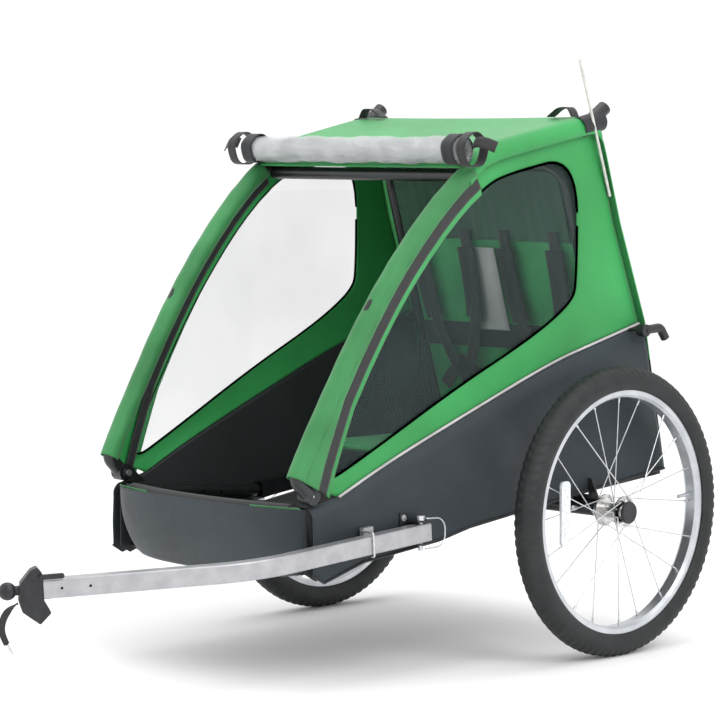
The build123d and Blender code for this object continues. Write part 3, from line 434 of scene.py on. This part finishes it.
# %% Finishes of the CAD parts
CAD_FINISH = {
    "rim": RIM, "spokes": STEEL, "hub": CHROME, "reflector": REFLECTOR, "release_button": BLACK_PLASTIC,
    "axle_tube": BLACK_PAINT, "axle_stubs": STEEL, "axle_brackets": BLACK_PAINT, "floor_rail": BLACK_PAINT,
    "front_hoop": BLACK_PAINT, "rear_cross_tube": BLACK_PAINT, "seat_cross_tube": BLACK_PAINT,
    "pivot_brackets": BLACK_PAINT, "frame_bolts": STEEL, "arch_tube": BLACK_PAINT,
    "roof_cross_tubes": BLACK_PAINT,
    "back_frame": BLACK_PAINT, "lever_posts": BLACK_PAINT, "fold_lever": BLACK_PLASTIC, "tow_arm": ARM,
    "tow_brackets": BLACK_PAINT, "lock_pin": STEEL, "pin_bail": STEEL, "wire_clip": STEEL,
    "hitch_block": BLACK_PLASTIC, "hitch_knob": BLACK_PLASTIC, "lock_lever": BLACK_PLASTIC,
    "strap_hook": STEEL,
    "flag_rod": ROD}
for node_name, node in NODES.items():
    stem = node_name.replace("_left", "").replace("_right", "")
    if stem in CAD_FINISH:
        node.data.materials.clear()
        node.data.materials.append(CAD_FINISH[stem])
print("finished", len(CAD_FINISH), "kinds of CAD part")

# %% [markdown]
# The safety strap is the one free cord: flat webbing that hangs from the hitch to its hook.  Its line is a
# smooth NURBS curve through the same few points as the CAD strap.

# %% Safety strap
NOSE = Vector((-math.sin(math.radians(33.5)), -math.cos(math.radians(33.5)) * math.cos(math.radians(3.8)),
               -math.cos(math.radians(33.5)) * math.sin(math.radians(3.8)))).normalized()
ACROSS = Vector((0, 0, 1)).cross(NOSE).normalized()
UP = NOSE.cross(ACROSS)
UP = UP if UP.z > 0 else -UP
knob_centre = Vector(frame["record"]["mounts"][2]["pos_m"])
ARM_END = knob_centre - NOSE * 0.055
STRAP_ROUTE = [(0.0394, -0.020), (0.048, -0.024), (0.059, -0.034), (0.0665, -0.049), (0.0675, -0.066),
               (0.0605, -0.082)]


def on_hitch(ahead, up, across=0.0):
    """A place on the hitch: ahead of the arm's end, up, and across towards the outside."""
    return ARM_END + NOSE * (ahead + 0.0003) + UP * up + ACROSS * across


route = [on_hitch(a, z) for a, z in STRAP_ROUTE]
strap_curve = bpy.data.curves.new("strap_line", "CURVE")
strap_curve.dimensions = "3D"
spline = strap_curve.splines.new("NURBS")
spline.points.add(len(route) - 1)
for point, place in zip(spline.points, route):
    point.co = (*place, 1.0)
spline.order_u = 3
spline.use_endpoint_u = True
spline.resolution_u = 12
line_object = bpy.data.objects.new("strap_line", strap_curve)
line_mesh = bpy.data.meshes.new_from_object(line_object)
strap_line = np.empty(len(line_mesh.vertices) * 3)
line_mesh.vertices.foreach_get("co", strap_line)
strap_line = strap_line.reshape(-1, 3)
bpy.data.objects.remove(line_object)
shape_t = np.linspace(0, 1, len(strap_line))
half_width = 0.0058 * (0.8 + 0.2 * np.sin(np.pi * shape_t))
strap_run = np.gradient(strap_line, axis=0)
strap_run /= np.linalg.norm(strap_run, axis=1, keepdims=True)
turned = np.cross(strap_run, np.array(ACROSS))
twist = np.radians(70) * np.clip(shape_t * 3, 0, 1)[:, None]
strap = strip("safety_strap_web", strap_line, np.cos(twist) * np.array(ACROSS) + np.sin(twist) * turned,
              half_width,
              bulge=0.0006, wall=0.002)
finish_piece(strap, "tow_arm", WEBBING, ["safety_strap"])
length = float(np.linalg.norm(np.diff(strap_line, axis=0), axis=1).sum())
print("strap", round(length, 4))

# %% [markdown]
# Tyres: a round casing with a raised band of tread.  The tread is a height added to the casing's radius,
# worked out from the angle round the wheel and the angle round the casing.

# %% Tyres
def make_tyre(name, centre_x, sign):
    """A casing 22 mm in section radius, plus rows of lugs near the crown and ribs on the shoulders."""
    big, small = 0.2265, 0.0222
    turn = np.linspace(0, 2 * np.pi, 720, endpoint=False)
    around = np.linspace(-2.35, 2.35, 40)
    T, A = np.meshgrid(turn, around, indexing="ij")
    stagger = np.where(A > 0, 0.5, 0.0)
    lug = np.clip(np.sin(T * 90 + stagger * 2 * np.pi + np.abs(A) * 2.2) * 4, -1, 1) * 0.5 + 0.5
    band = np.clip((1.05 - np.abs(A)) * 8, 0, 1) * np.clip((np.abs(A) - 0.10) * 30, 0, 1)
    shoulder = np.clip(1 - np.abs(np.abs(A) - 1.25) * 14, 0, 1)
    radius = small + 0.0013 * lug * band + 0.0007 * shoulder
    reach = big + radius * np.cos(A)
    points = np.stack([centre_x + radius * np.sin(A), AXLE_Y + reach * np.cos(T), AXLE_Z + reach * np.sin(T)],
                      axis=-1)
    if sign > 0:
        points = points[::-1]
    return surface(name, points, wrap_u=True, wall=0.002)


for label, sign in (("left", 1), ("right", -1)):
    low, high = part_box("tyre_" + label)
    tyre = make_tyre("tread_tyre_" + label, (low[0] + high[0]) / 2, sign)
    finish_piece(tyre, "wheel_" + label, RUBBER, ["tyre_" + label])

# %% [markdown]
# The side cloth.  Every outline is a short list of places on the side: y from the axle and height.  A window
# is a fan from its middle to its edge, and the green cloth round it is the ring between the window's edge
# and the panel's edge, so that the two share one seam.

# %% Outlines
ARCH = rounded([(-0.634, 0.345), (-0.606, 0.400), (-0.470, 0.622), (-0.330, 0.782), (-0.215, 0.864),
                (0.018, 0.912), (0.050, 0.921)], 2)
BELT = rounded([(-0.549, 0.312), (-0.433, 0.365), (-0.245, 0.438), (-0.066, 0.506), (0.042, 0.535),
                (0.150, 0.564)], 2)
REAR = [(0.152, 0.564), (0.087, 0.741), (0.050, 0.870)]
BOTTOM = [(-0.612, 0.190), (-0.590, 0.177), (-0.507, 0.203), (-0.340, 0.223), (-0.270, 0.239),
          (-0.162, 0.254),
          (0.079, 0.286), (0.206, 0.303)]
WINDOW = [(-0.583, 0.332), (-0.489, 0.375), (-0.287, 0.475), (-0.153, 0.533), (-0.074, 0.572),
          (-0.016, 0.610),
          (-0.004, 0.640), (-0.004, 0.862), (-0.161, 0.833), (-0.222, 0.812), (-0.308, 0.741),
          (-0.369, 0.674),
          (-0.437, 0.590), (-0.500, 0.494), (-0.556, 0.400)]
MIDDLE = np.array([-0.200, 0.640])


def radius_at(outline, angles):
    """Distance from the window's middle to a closed outline along each angle, by crossing every edge."""
    a = np.asarray(outline) - MIDDLE
    b = np.roll(a, -1, axis=0)
    ray = np.stack([np.cos(angles), np.sin(angles)], axis=1)
    edge = b - a
    cross = ray[:, None, 0] * edge[None, :, 1] - ray[:, None, 1] * edge[None, :, 0]
    cross = np.where(np.abs(cross) < 1e-9, 1e-9, cross)
    far = (a[None, :, 0] * edge[None, :, 1] - a[None, :, 1] * edge[None, :, 0]) / cross
    share = (a[None, :, 0] * ray[:, None, 1] - a[None, :, 1] * ray[:, None, 0]) / cross
    hit = (share >= -1e-6) & (share <= 1 + 1e-6) & (far > 0)
    return np.where(hit, far, np.inf).min(axis=1)


window_edge = rounded(WINDOW, 3, closed=True)
panel_edge = np.vstack([BELT, REAR, ARCH[::-1]])
angles = np.unique(np.concatenate([np.linspace(-np.pi, np.pi, 600, endpoint=False),
                                   np.arctan2(*(window_edge - MIDDLE).T[::-1]),
                                   np.arctan2(*(panel_edge - MIDDLE).T[::-1])]))
inner = radius_at(window_edge, angles)
outer = np.minimum(radius_at(panel_edge, angles), 0.9)
ray = np.stack([np.cos(angles), np.sin(angles)], axis=1)


def fan(inner_radius, outer_radius, rings, out, sign, bulge=0.0):
    """Grid between two radii round the window's middle, pushed out by bulge between its two edges."""
    t = np.linspace(0, 1, rings)
    reach = inner_radius[:, None] * (1 - t) + outer_radius[:, None] * t
    yz = MIDDLE + ray[:, None] * reach[..., None]
    push = out + bulge * np.sin(np.pi * t)[None, :] * np.ones_like(reach)
    return side(yz, 0.0, 1) * np.array([sign, 1, 1]) + np.stack([sign * push, 0 * push, 0 * push], axis=-1)


def edge_line(outline, out, sign, count=400, closed=False):
    outline = np.vstack([outline, outline[:1]]) if closed else np.asarray(outline)
    return side(resample(outline, count), out, 1) * np.array([sign, 1, 1])


# %% Side panels, windows, lower cloth and their trims
FOLD_KEEP = 0.36
for label, sign in (("left", 1), ("right", -1)):
    flip = 1 if sign > 0 else -1
    panel_grid = fan(inner, outer, 14, 0.001, sign, 0.002)[::flip]
    panel = surface("green_side_" + label, panel_grid, wrap_u=True, wall=0.0012)
    finish_piece(panel, "base", GREEN, ["side_panel_" + label], FOLD_KEEP)
    declare_sheet(panel_grid, ring=True)
    pane_grid = fan(np.full_like(inner, 1e-4), inner, 16, 0.001, sign, 0.003)[::flip]
    pane = surface("clear_window_" + label, pane_grid, wrap_u=True, wall=0.0006)
    finish_piece(pane, "base", FILM, ["window_" + label], FOLD_KEEP)
    declare_sheet(pane_grid, ring=True)
    binding = edge_line(window_edge, 0.0022, sign, 500, closed=True)
    finish_piece(tube("window_binding_" + label, binding, 0.0022, 8), "base", TAPE,
                 fold=FOLD_KEEP)
    # lower cloth: lofted from its bottom edge to the belt line, swelling a little where it is slack
    belt_full = np.vstack([[(-0.612, 0.298)], BELT])
    low_line, high_line = resample(BOTTOM, 160), resample(belt_full, 160)
    t = np.linspace(0, 1, 30)
    yz = low_line[:, None] * (1 - t)[None, :, None] + high_line[:, None] * t[None, :, None]
    along = np.linspace(0, 1, 160)[:, None]
    swell = 0.004 * np.sin(np.pi * t)[None, :] * np.sin(np.pi * along)
    folds = 0.0016 * np.sin(along * 46 + 5 * t[None, :]) * np.sin(np.pi * t)[None, :]
    tuck = 0.013 * (1 - np.clip(t * 6 - 5, 0, 1) ** 2)[None, :] + 0.002
    place = side(yz, 0.0, 1)
    place[..., 0] += tuck + swell + folds
    place[..., 0] *= sign
    skirt = surface("slate_side_" + label, place[::flip], wall=0.0014)
    finish_piece(skirt, "base", SLATE, ["lower_side_" + label], 0.75)
    declare_sheet(place)
    lining_place = side(yz, -0.004, 1) * np.array([sign, 1, 1])
    lining = surface("black_lining_" + label, lining_place[::-flip], wall=0.001)
    finish_piece(lining, "base", BLACK_CLOTH, fold=0.75)
    piping = edge_line(BELT, 0.0045, sign)
    finish_piece(tube("belt_piping_" + label, piping, 0.0024, 8), "base", PIPING,
                 fold=FOLD_KEEP)
    hem = edge_line(BOTTOM, 0.0162, sign)
    finish_piece(tube("bottom_hem_" + label, hem, 0.0022, 8), "base", BLACK_CLOTH, fold=0.75)

# %% [markdown]
# The arch sleeves.  Each one wraps the bent tube and runs on behind it as a flat skirt that carries the zip:
# a green welt, a black zip tape, and a narrow bright edge next to the window.

# %% Sleeves and zips
arch_run = resample(ARCH[ARCH[:, 0] < -0.235], 150)
tangent = np.gradient(arch_run, axis=0)
tangent /= np.linalg.norm(tangent, axis=1, keepdims=True)
inward = np.stack([tangent[:, 1], -tangent[:, 0]], axis=1)        # towards the cabin, in the side plane
share = np.linspace(0, 1, len(arch_run))
skirt_reach = np.interp(share, [0, 0.25, 0.6, 1], [0.040, 0.016, 0.012, 0.011])


def band(name, near, far, out_near, out_far, material, sign, wall=0.0012, cols=6):
    """Cloth band beside the arch: from near to far metres behind the tube's middle, at given offsets."""
    t = np.linspace(0, 1, cols)
    reach = near[:, None] * (1 - t) + far[:, None] * t
    yz = arch_run[:, None] + inward[:, None] * reach[..., None]
    out = out_near * (1 - t) + out_far * t
    points = side(yz, 0.0, 1)
    points[..., 0] += out[None, :]
    points[..., 0] *= sign
    return finish_piece(surface(name, points, wall=wall), "cage", material)


for label, sign in (("left", 1), ("right", -1)):
    ring = np.linspace(0, 2 * np.pi, 28, endpoint=False)
    radius = 0.0158 + 0.0008 * np.sin(share * 60)[:, None] * np.cos(ring * 2)[None, :]
    yz_part = -inward[:, None] * (np.cos(ring)[None, :] * radius)[..., None]
    points = side(arch_run[:, None] + yz_part, 0.0, 1)
    points[..., 0] += np.sin(ring)[None, :] * radius
    points[..., 0] *= sign
    sleeve = surface("sleeve_" + label, points, wrap_v=True, wall=0.0012)
    finish_piece(sleeve, "cage", GREEN_SLEEVE, ["arch_sleeve_" + label])
    start = np.full(len(arch_run), 0.006)
    band("sleeve_skirt_" + label, start, skirt_reach, 0.0148, 0.0125, GREEN_SLEEVE, sign)
    band("zip_tape_" + label, skirt_reach - 0.001, skirt_reach + 0.021, 0.0126, 0.0095, TAPE, sign)
    band("zip_edge_" + label, skirt_reach + 0.020, skirt_reach + 0.034, 0.0092, 0.0035, GREEN, sign)
    band("inner_tape_" + label, skirt_reach - 0.002, skirt_reach + 0.018, -0.006, -0.003, TAPE, sign)

# %% [markdown]
# Roof and rear cover are one continuous sheet each: the roof sags a little between the tubes and turns down
# over them; the rear cover hangs from it, green above and dark below.

# %% Roof and rear cover
def across_profile(yz, edge_out, drop, sag, count=61):
    """Sheet across the trailer from side to side; its ends turn down over the tubes by a quarter circle."""
    t = np.linspace(-1, 1, count)
    half = (HALF + yz[:, 0] * LEAN + edge_out)[:, None]
    turn = np.clip((np.abs(t) - 0.90) / 0.10, 0, 1)
    x = np.sign(t) * (np.minimum(np.abs(t), 0.90) / 0.90 * (half - 0.016) + 0.016 * np.sin(turn * np.pi / 2))
    z = yz[:, 1][:, None] - drop * (1 - np.cos(turn * np.pi / 2)) - sag[:,
                                                                        None] * (1 - (t / 0.9) ** 2).clip(0)
    y = np.broadcast_to((AXLE_Y + yz[:, 0])[:, None], x.shape)
    return np.stack([x, y, z], axis=-1)


roof_line = rounded([(-0.268, 0.842), (-0.254, 0.858), (-0.222, 0.881), (-0.10, 0.906), (0.012, 0.928),
                     (0.032, 0.928), (0.044, 0.914)], 3)
roof_line = resample(roof_line, 80)
sag = 0.010 * np.sin(np.pi * np.linspace(0, 1, 80))
roof_grid = across_profile(roof_line, 0.0155, 0.030, sag)
roof = surface("roof_sheet", roof_grid, wall=0.0014)
finish_piece(roof, "cage", GREEN, ["roof_cover"])
declare_sheet(roof_grid)
rear_line = resample([(0.046, 0.912), (0.062, 0.885), (0.070, 0.862), (0.105, 0.744), (0.170, 0.566),
                      (0.222, 0.305)],
                     120)
rear_points = across_profile(rear_line, 0.013, 0.0, np.zeros(120))
rear_points[..., 1] -= 0.016 * (np.abs(np.linspace(-1, 1, 61)) ** 8)[None, :]
split = 82
rear_top = surface("rear_sheet", rear_points[:split + 1], wall=0.0014)
finish_piece(rear_top, "base", GREEN, ["rear_cover"], FOLD_KEEP)
declare_sheet(rear_points[:split + 1])
rear_low = surface("rear_sheet_low", rear_points[split:], wall=0.0014)
finish_piece(rear_low, "base", SLATE, fold=0.75)

for sign, label in ((1, "left"), (-1, "right")):
    corner_line = resample([(0.000, 0.9085), (0.030, 0.9150), (0.052, 0.9215)], 30)
    wrap_ring = np.linspace(-0.35 * np.pi, 0.75 * np.pi, 24)
    wrap_grid = side(corner_line[:, None] + np.stack([-0.2 * np.sin(wrap_ring), np.sin(wrap_ring)],
                                                     axis=-1)[None]
                     * 0.0178, 0.0, 1)
    wrap_grid[..., 0] = (wrap_grid[..., 0] + 0.0178 * np.cos(wrap_ring)[None, :]) * sign
    corner_wrap = surface("corner_wrap_" + label, wrap_grid[::sign], wall=0.0012)
    finish_piece(corner_wrap, "cage", BLACK_CLOTH)

# %% [markdown]
# Nose and floor: a dark band wraps the front hoop with rounded lower corners, and the floor hangs below the
# rails as a shallow tub.

# %% Nose band and floor tub
nose_low, nose_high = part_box("nose_panel")
hoop_low, hoop_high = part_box("front_hoop")
u = np.linspace(-1, 1, 121)
v = np.linspace(0, 1, 24)
U, V = np.meshgrid(u, v, indexing="ij")
half_top = HALF - 0.612 * LEAN + 0.013
half_low = 0.228
half_here = half_low + (half_top - half_low) * np.sin(V * np.pi / 2) ** 0.5
corner = np.sign(U) * np.abs(U) ** 0.9
x = corner * half_here
front = nose_low[1] + 0.001 + 0.030 * np.abs(U) ** 2.2 + 0.045 * np.abs(U) ** 12
y = front + 0.026 * (1 - np.sin(V * np.pi / 2)) ** 1.5
z = nose_low[2] + 0.002 + (nose_high[2] - nose_low[2] - 0.003) * V + 0.012 * np.abs(U) ** 4 * (1 - V)
nose = surface("nose_band", np.stack([x, y, z], axis=-1), wall=0.0016)
finish_piece(nose, "base", SLATE, ["nose_panel"])
declare_sheet(np.stack([x, y, z], axis=-1))
# apron: black cloth from the hoop back and down to the floor, closing the footwell's front
lean_t = np.linspace(0, 1, 30)[None, :]
wide = np.linspace(-1, 1, 60)[:, None]
apron_grid = np.stack([wide * (0.222 + 0.010 * lean_t),
                       AXLE_Y - 0.622 + 0.115 * lean_t + 0.014 * np.abs(wide) ** 3,
                       0.298 - 0.085 * lean_t ** 1.4 + 0.002 * np.sin(wide * 17) * np.sin(np.pi * lean_t)],
                       axis=-1)
apron = surface("front_apron", apron_grid, wall=0.0014)
finish_piece(apron, "base", BLACK_CLOTH)
declare_sheet(apron_grid)
for sign, label in ((1, "left"), (-1, "right")):
    cuff_x = np.linspace(0.130, 0.226, 30)
    cuff_line = np.stack([sign * cuff_x, hoop_low[1] - 0.0045 + 0.026 * (cuff_x / 0.2) ** 2,
                          np.full(30, hoop_high[2] - 0.010)], axis=1)
    cuff = strip("front_cuff_" + label, cuff_line, np.array([0, -0.15, 0.99]), 0.009, bulge=-0.002 * sign,
                 wall=0.0016)
    finish_piece(cuff, "base", GREEN_SLEEVE)
hoop_wrap = np.stack([np.linspace(-0.20, 0.20, 60), np.full(60, hoop_low[1] + 0.0118),
                      np.full(60, hoop_high[2] - 0.0118)], axis=1)
hoop_wrap[:, 1] += 0.026 * (np.abs(hoop_wrap[:, 0]) / 0.2) ** 2
wrap = tube("hoop_wrap", hoop_wrap, 0.0150, 20)
finish_piece(wrap, "base", BLACK_CLOTH)

floor_run = resample([(-0.600, 0.186), (-0.507, 0.207), (-0.340, 0.227), (-0.286, 0.239), (-0.140, 0.2575),
                      (-0.030, 0.268), (0.040, 0.2735), (0.150, 0.2875)], 90)
t = np.linspace(-1, 1, 50)
half = np.where(floor_run[:, 0] < -0.288, HALF + floor_run[:, 0] * LEAN + 0.010,
                HALF + floor_run[:, 0] * LEAN - 0.028)
half = np.minimum(half, np.interp(floor_run[:, 0], [-0.60, -0.56], [0.20, 0.30]))
floor = np.stack([half[:, None] * t, np.broadcast_to((AXLE_Y + floor_run[:, 0])[:, None], (90, 50)),
                  floor_run[:, 1][:, None] - 0.002 * (1 - t ** 2)[None, :]], axis=-1)
tub = surface("floor_tub", floor, wall=0.0016)
finish_piece(tub, "base", BLACK_CLOTH, ["floor_sheet"])
declare_sheet(floor)

# %% [markdown]
# Inside: a slung seat back in green cloth with a dark headrest band, a dark waist band, and a green seat that
# drops to the front.  Two five-point harnesses hang on it.

# %% Seat back and seat: the back is a sling on its frame, the seat a closed shape with pinched ends
back_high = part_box("back_panel")[1]
FOOT = np.array([0.170, 0.348])
TOP = np.array([0.022, 0.842])
back_up = (TOP - FOOT) / np.linalg.norm(TOP - FOOT)
back_ahead = np.array([-back_up[1], back_up[0]])
BACK_LENGTH = float(np.linalg.norm(TOP - FOOT))
panel_half = back_high[0]


def on_back(x, up, ahead):
    """A place on the seat back: x across, up along its frame, ahead towards the nose."""
    x, up, ahead = np.broadcast_arrays(x, up, ahead)
    yz = FOOT + up[..., None] * back_up + ahead[..., None] * back_ahead
    return np.stack([x, AXLE_Y + yz[..., 0], yz[..., 1]], axis=-1)


def back_cloth(name, up0, up1, material, ahead=0.0, ruffle=0.0, nodes=(), half=None):
    """Cloth between two heights: it sags back between its sides, with upright gathers of a given depth."""
    half = half or panel_half
    t = np.linspace(-1, 1, 90)[:, None]
    up = np.linspace(up0, up1, 30)[None, :]
    sag = -0.004 * (1 - t ** 2)
    gathers = ruffle * np.sin(t * 38 + np.sin(t * 9) * 2) * (0.4 + 0.6 * np.linspace(1, 0, 30)[None, :])
    grid = on_back(t * half, up, ahead + sag + gathers)
    piece = finish_piece(surface(name, grid, wall=0.0016), "seat_back", material, list(nodes))
    declare_sheet(grid)
    return piece


back_cloth("seat_back_cloth", 0.024, 0.395, GREEN_SEAT, ruffle=0.0012, nodes=["back_panel"])
back_cloth("headrest_band", 0.375, BACK_LENGTH - 0.006, MESH_BAND, ahead=0.005, ruffle=0.0018)
back_cloth("waist_band", 0.165, 0.212, BLACK_CLOTH, ahead=0.0035)
seat_low, seat_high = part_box("seat_base")
t = np.linspace(-1, 1, 60)
seat_profile = rounded([(seat_high[1], seat_high[2] - 0.002), (AXLE_Y - 0.02, seat_high[2] - 0.004),
                        (seat_low[1] + 0.02, seat_high[2] - 0.001), (seat_low[1], seat_high[2] - 0.012),
                        (seat_low[1] + 0.001, seat_low[2] + 0.006), (seat_low[1] + 0.02, seat_low[2]),
                        (seat_high[1] - 0.01, seat_low[2]), (seat_high[1], seat_low[2] + 0.01)], 3,
                        closed=True)
seat_profile = resample(seat_profile, 80)
seat_half = seat_high[0] - 0.002
pinch = (1 - np.abs(t) ** 10)[:, None]
mid_z = (seat_high[2] + seat_low[2]) / 2
seat_points = np.stack([np.broadcast_to(t[:, None] * seat_half, (60, 80)),
                        np.broadcast_to(seat_profile[None, :, 0], (60, 80)),
                        mid_z + (seat_profile[None, :, 1] - mid_z) * (0.25 + 0.75 * pinch)
                        - 0.004 * (1 - np.cos(t * 2 * np.pi))[:,
                                                              None] * (seat_profile[None, :, 1] > mid_z)],
                                                              axis=-1)
seat = surface("seat_cushion", seat_points, wrap_v=True)
finish_piece(seat, "base", GREEN_SEAT, ["seat_base"])


# %% Harnesses
def strap_on_back(name, places, half_width, material=WEBBING, bulge=0.0006, wall=0.0016, count=60):
    """Webbing along a rounded line of (x, up, ahead) places on the seat back."""
    line = resample(rounded(places, 3), count)
    points = on_back(line[:, 0], line[:, 1], line[:, 2])
    tangent = np.gradient(points, axis=0)
    normal = np.array([0.0, back_ahead[0], back_ahead[1]])
    across = np.cross(tangent, normal)
    across /= np.linalg.norm(across, axis=1, keepdims=True)
    return finish_piece(strip(name, points, across, half_width, bulge=bulge, wall=wall), "seat_back",
                        material)


for label, middle in (("left", 0.108), ("right", -0.108)):
    for k in (-1, 1):
        tag = label + ("_outer" if k * middle > 0 else "_inner")
        x = middle + k * 0.060
        strap_on_back("shoulder_" + tag, [(x, 0.395, 0.006), (x, 0.33, 0.010), (x - k * 0.004, 0.24, 0.014),
                                                  (middle + k * 0.034, 0.17, 0.017),
                                                  (middle + k * 0.016, 0.132, 0.020)],
                              0.0125)
        strap_on_back("pad_" + tag, [(x, 0.362, 0.0125), (x, 0.32, 0.0135), (x - k * 0.004, 0.25, 0.0150),
                                     (x - k * 0.010, 0.225, 0.0155)], 0.020, BLACK_CLOTH, bulge=0.004,
                                     wall=0.004)
        strap_on_back("lap_" + tag, [(middle + k * 0.072, 0.085, 0.006), (middle + k * 0.05, 0.105, 0.010),
                                     (middle + k * 0.018, 0.128, 0.0185)], 0.0115)
    strap_on_back("crotch_" + label, [(middle, 0.128, 0.019), (middle, 0.10, 0.020),
                                      (middle, 0.075, 0.012)], 0.0125)
    ring = np.linspace(0, 2 * np.pi, 40, endpoint=False)
    dome = np.linspace(0, 1, 12)
    grow = np.sqrt(1 - dome ** 4)
    rim_r = 0.021 * (1 - 0.08 * np.cos(ring * 4))
    buckle = on_back(middle + grow[:, None] * (rim_r * np.cos(ring))[None, :],
                     0.133 + grow[:, None] * (rim_r * np.sin(ring))[None, :], 0.0165 + 0.004 * dome[:, None])
    base_ring = buckle[:1].copy()
    flat = on_back(np.full((1, 40), middle), np.full((1, 40), 0.133), np.full((1, 40), 0.0165))
    shell = surface("buckle_" + label, np.concatenate([flat, base_ring, buckle], axis=0), wrap_v=True)
    finish_piece(shell, "seat_back", BLACK_PLASTIC, ["harness_" + label])
strap_on_back("blank_label", [(-0.03, 0.36, 0.002), (-0.03, 0.30, 0.002), (-0.03, 0.20, 0.002)], 0.042,
                            LABEL, wall=0.0008)

# %% [markdown]
# The rolled clear cover lies on the roof's front edge.  It is a spiral of film: the radius grows with every
# turn, and slow waves along it make the roll look hand-rolled.

# %% Cover roll, its straps and the webbing loops
roll_low, roll_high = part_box("cover_roll")
roll_y, roll_z = (roll_low[1] + roll_high[1]) / 2, (roll_low[2] + roll_high[2]) / 2
roll_r = (roll_high[2] - roll_low[2]) / 2
s = np.linspace(0, 1, 110)[:, None]
a = np.linspace(0, 6 * np.pi, 150)[None, :]
radius = (roll_r * (0.62 + 0.36 * a / (6 * np.pi)) + 0.0011 * np.sin(s * 21 + a * 1.0)
          + 0.0008 * np.sin(s * 55 - a * 2))
x = (roll_low[0] + (roll_high[0] - roll_low[0]) * s) + 0 * a
roll_points = np.stack([x, roll_y + radius * np.cos(a), roll_z + radius * np.sin(a)], axis=-1)
roll = surface("rolled_cover", roll_points, wall=0.0006)
finish_piece(roll, "cage", ROLL_FILM, ["cover_roll"])
for sign, label in ((1, "left"), (-1, "right")):
    for k, (lo, hi, r) in enumerate(((0.2735, 0.293, 0.0285), (0.235, 0.2615, 0.0252))):
        ring = np.linspace(0, 2 * np.pi, 60, endpoint=False)
        xs = np.linspace(lo, hi, 8)[:, None] * sign
        rr = r + 0.0008 * np.sin(ring * 5)[None, :] + 0 * xs
        pts = np.stack([xs + 0 * ring, roll_y + rr * np.cos(ring), roll_z + rr * np.sin(ring)], axis=-1)
        hoop = surface("roll_band_%s_%d" % (label, k), pts[::sign], wrap_v=True, wall=0.0018)
        finish_piece(hoop, "cage", WEBBING if k == 0 else BLACK_CLOTH,
                     ["roll_straps"] if (k == 0 and sign > 0) else [])
    tail = np.array([(0.290, -0.004, 0.010), (0.305, -0.006, 0.014), (0.322, -0.002, 0.010),
                     (0.334, 0.004, 0.004)])
    line = resample(rounded(tail, 3), 30)
    line = line * np.array([sign, 1, 1]) + np.array([0, roll_y, roll_z])
    finish_piece(strip("roll_tail_" + label, line, np.array([0, 0.5, 0.866]), 0.010, wall=0.0018), "cage",
                 WEBBING)
    loop_low, loop_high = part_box("webbing_loops")
    loop_mid = (loop_low[1] + loop_high[1]) / 2
    lx = loop_high[0]
    arc = [(lx - 0.002, loop_mid, loop_low[2] + 0.001), (lx - 0.010, loop_mid, loop_high[2] - 0.003),
           (lx - 0.020, loop_mid, loop_high[2] - 0.001), (lx - 0.036, loop_mid, loop_high[2] - 0.003),
           (lx - 0.050, loop_mid, loop_low[2] + 0.006), (lx - 0.058, loop_mid, loop_low[2] + 0.001)]
    line = resample(rounded(arc, 3), 50) * np.array([sign, 1, 1])
    finish_piece(strip("roof_loop_" + label, line, np.array([0, 1.0, 0]), 0.010, wall=0.0018), "cage",
                 WEBBING,
                 ["webbing_loops"] if sign > 0 else [])

# %% [markdown]
# Studio: a pale floor, a white surround and three soft lights.

# %% Floor, world and lights
floor_mesh = bpy.data.meshes.new("studio_floor")
floor_mesh.from_pydata([(-30, -30, 0), (30, -30, 0), (30, 30, 0), (-30, 30, 0)], [], [(0, 1, 2, 3)])
stage = bpy.data.objects.new("studio_floor", floor_mesh)
bpy.context.scene.collection.objects.link(stage)
floor_material, _, floor_shader = new_material("pale_floor")
floor_shader.inputs["Base Color"].default_value = (0.96, 0.96, 0.96, 1)
floor_shader.inputs["Roughness"].default_value = 0.85
floor_mesh.materials.append(floor_material)
world = bpy.data.worlds.new("studio")
world.use_nodes = True
world.node_tree.nodes["Background"].inputs[0].default_value = (1, 1, 1, 1)
world.node_tree.nodes["Background"].inputs[1].default_value = 1.08
bpy.context.scene.world = world


def soft_light(name, place, aim, size, power):
    """A square area light that faces a point."""
    data = bpy.data.lights.new(name, "AREA")
    data.size = size
    data.energy = power
    lamp = bpy.data.objects.new(name, data)
    lamp.location = place
    lamp.rotation_euler = (Vector(aim) - Vector(place)).to_track_quat("-Z", "Y").to_euler()
    bpy.context.scene.collection.objects.link(lamp)


soft_light("key", (3.2, -0.5, 3.0), (0, 0, 0.5), 2.0, 55)
soft_light("fill", (-2.5, -3.5, 2.2), (0, 0, 0.5), 2.5, 22)
soft_light("top", (0, 0.4, 3.6), (0, 0, 0.6), 2.5, 30)
bpy.context.scene.view_settings.view_transform = "Standard"
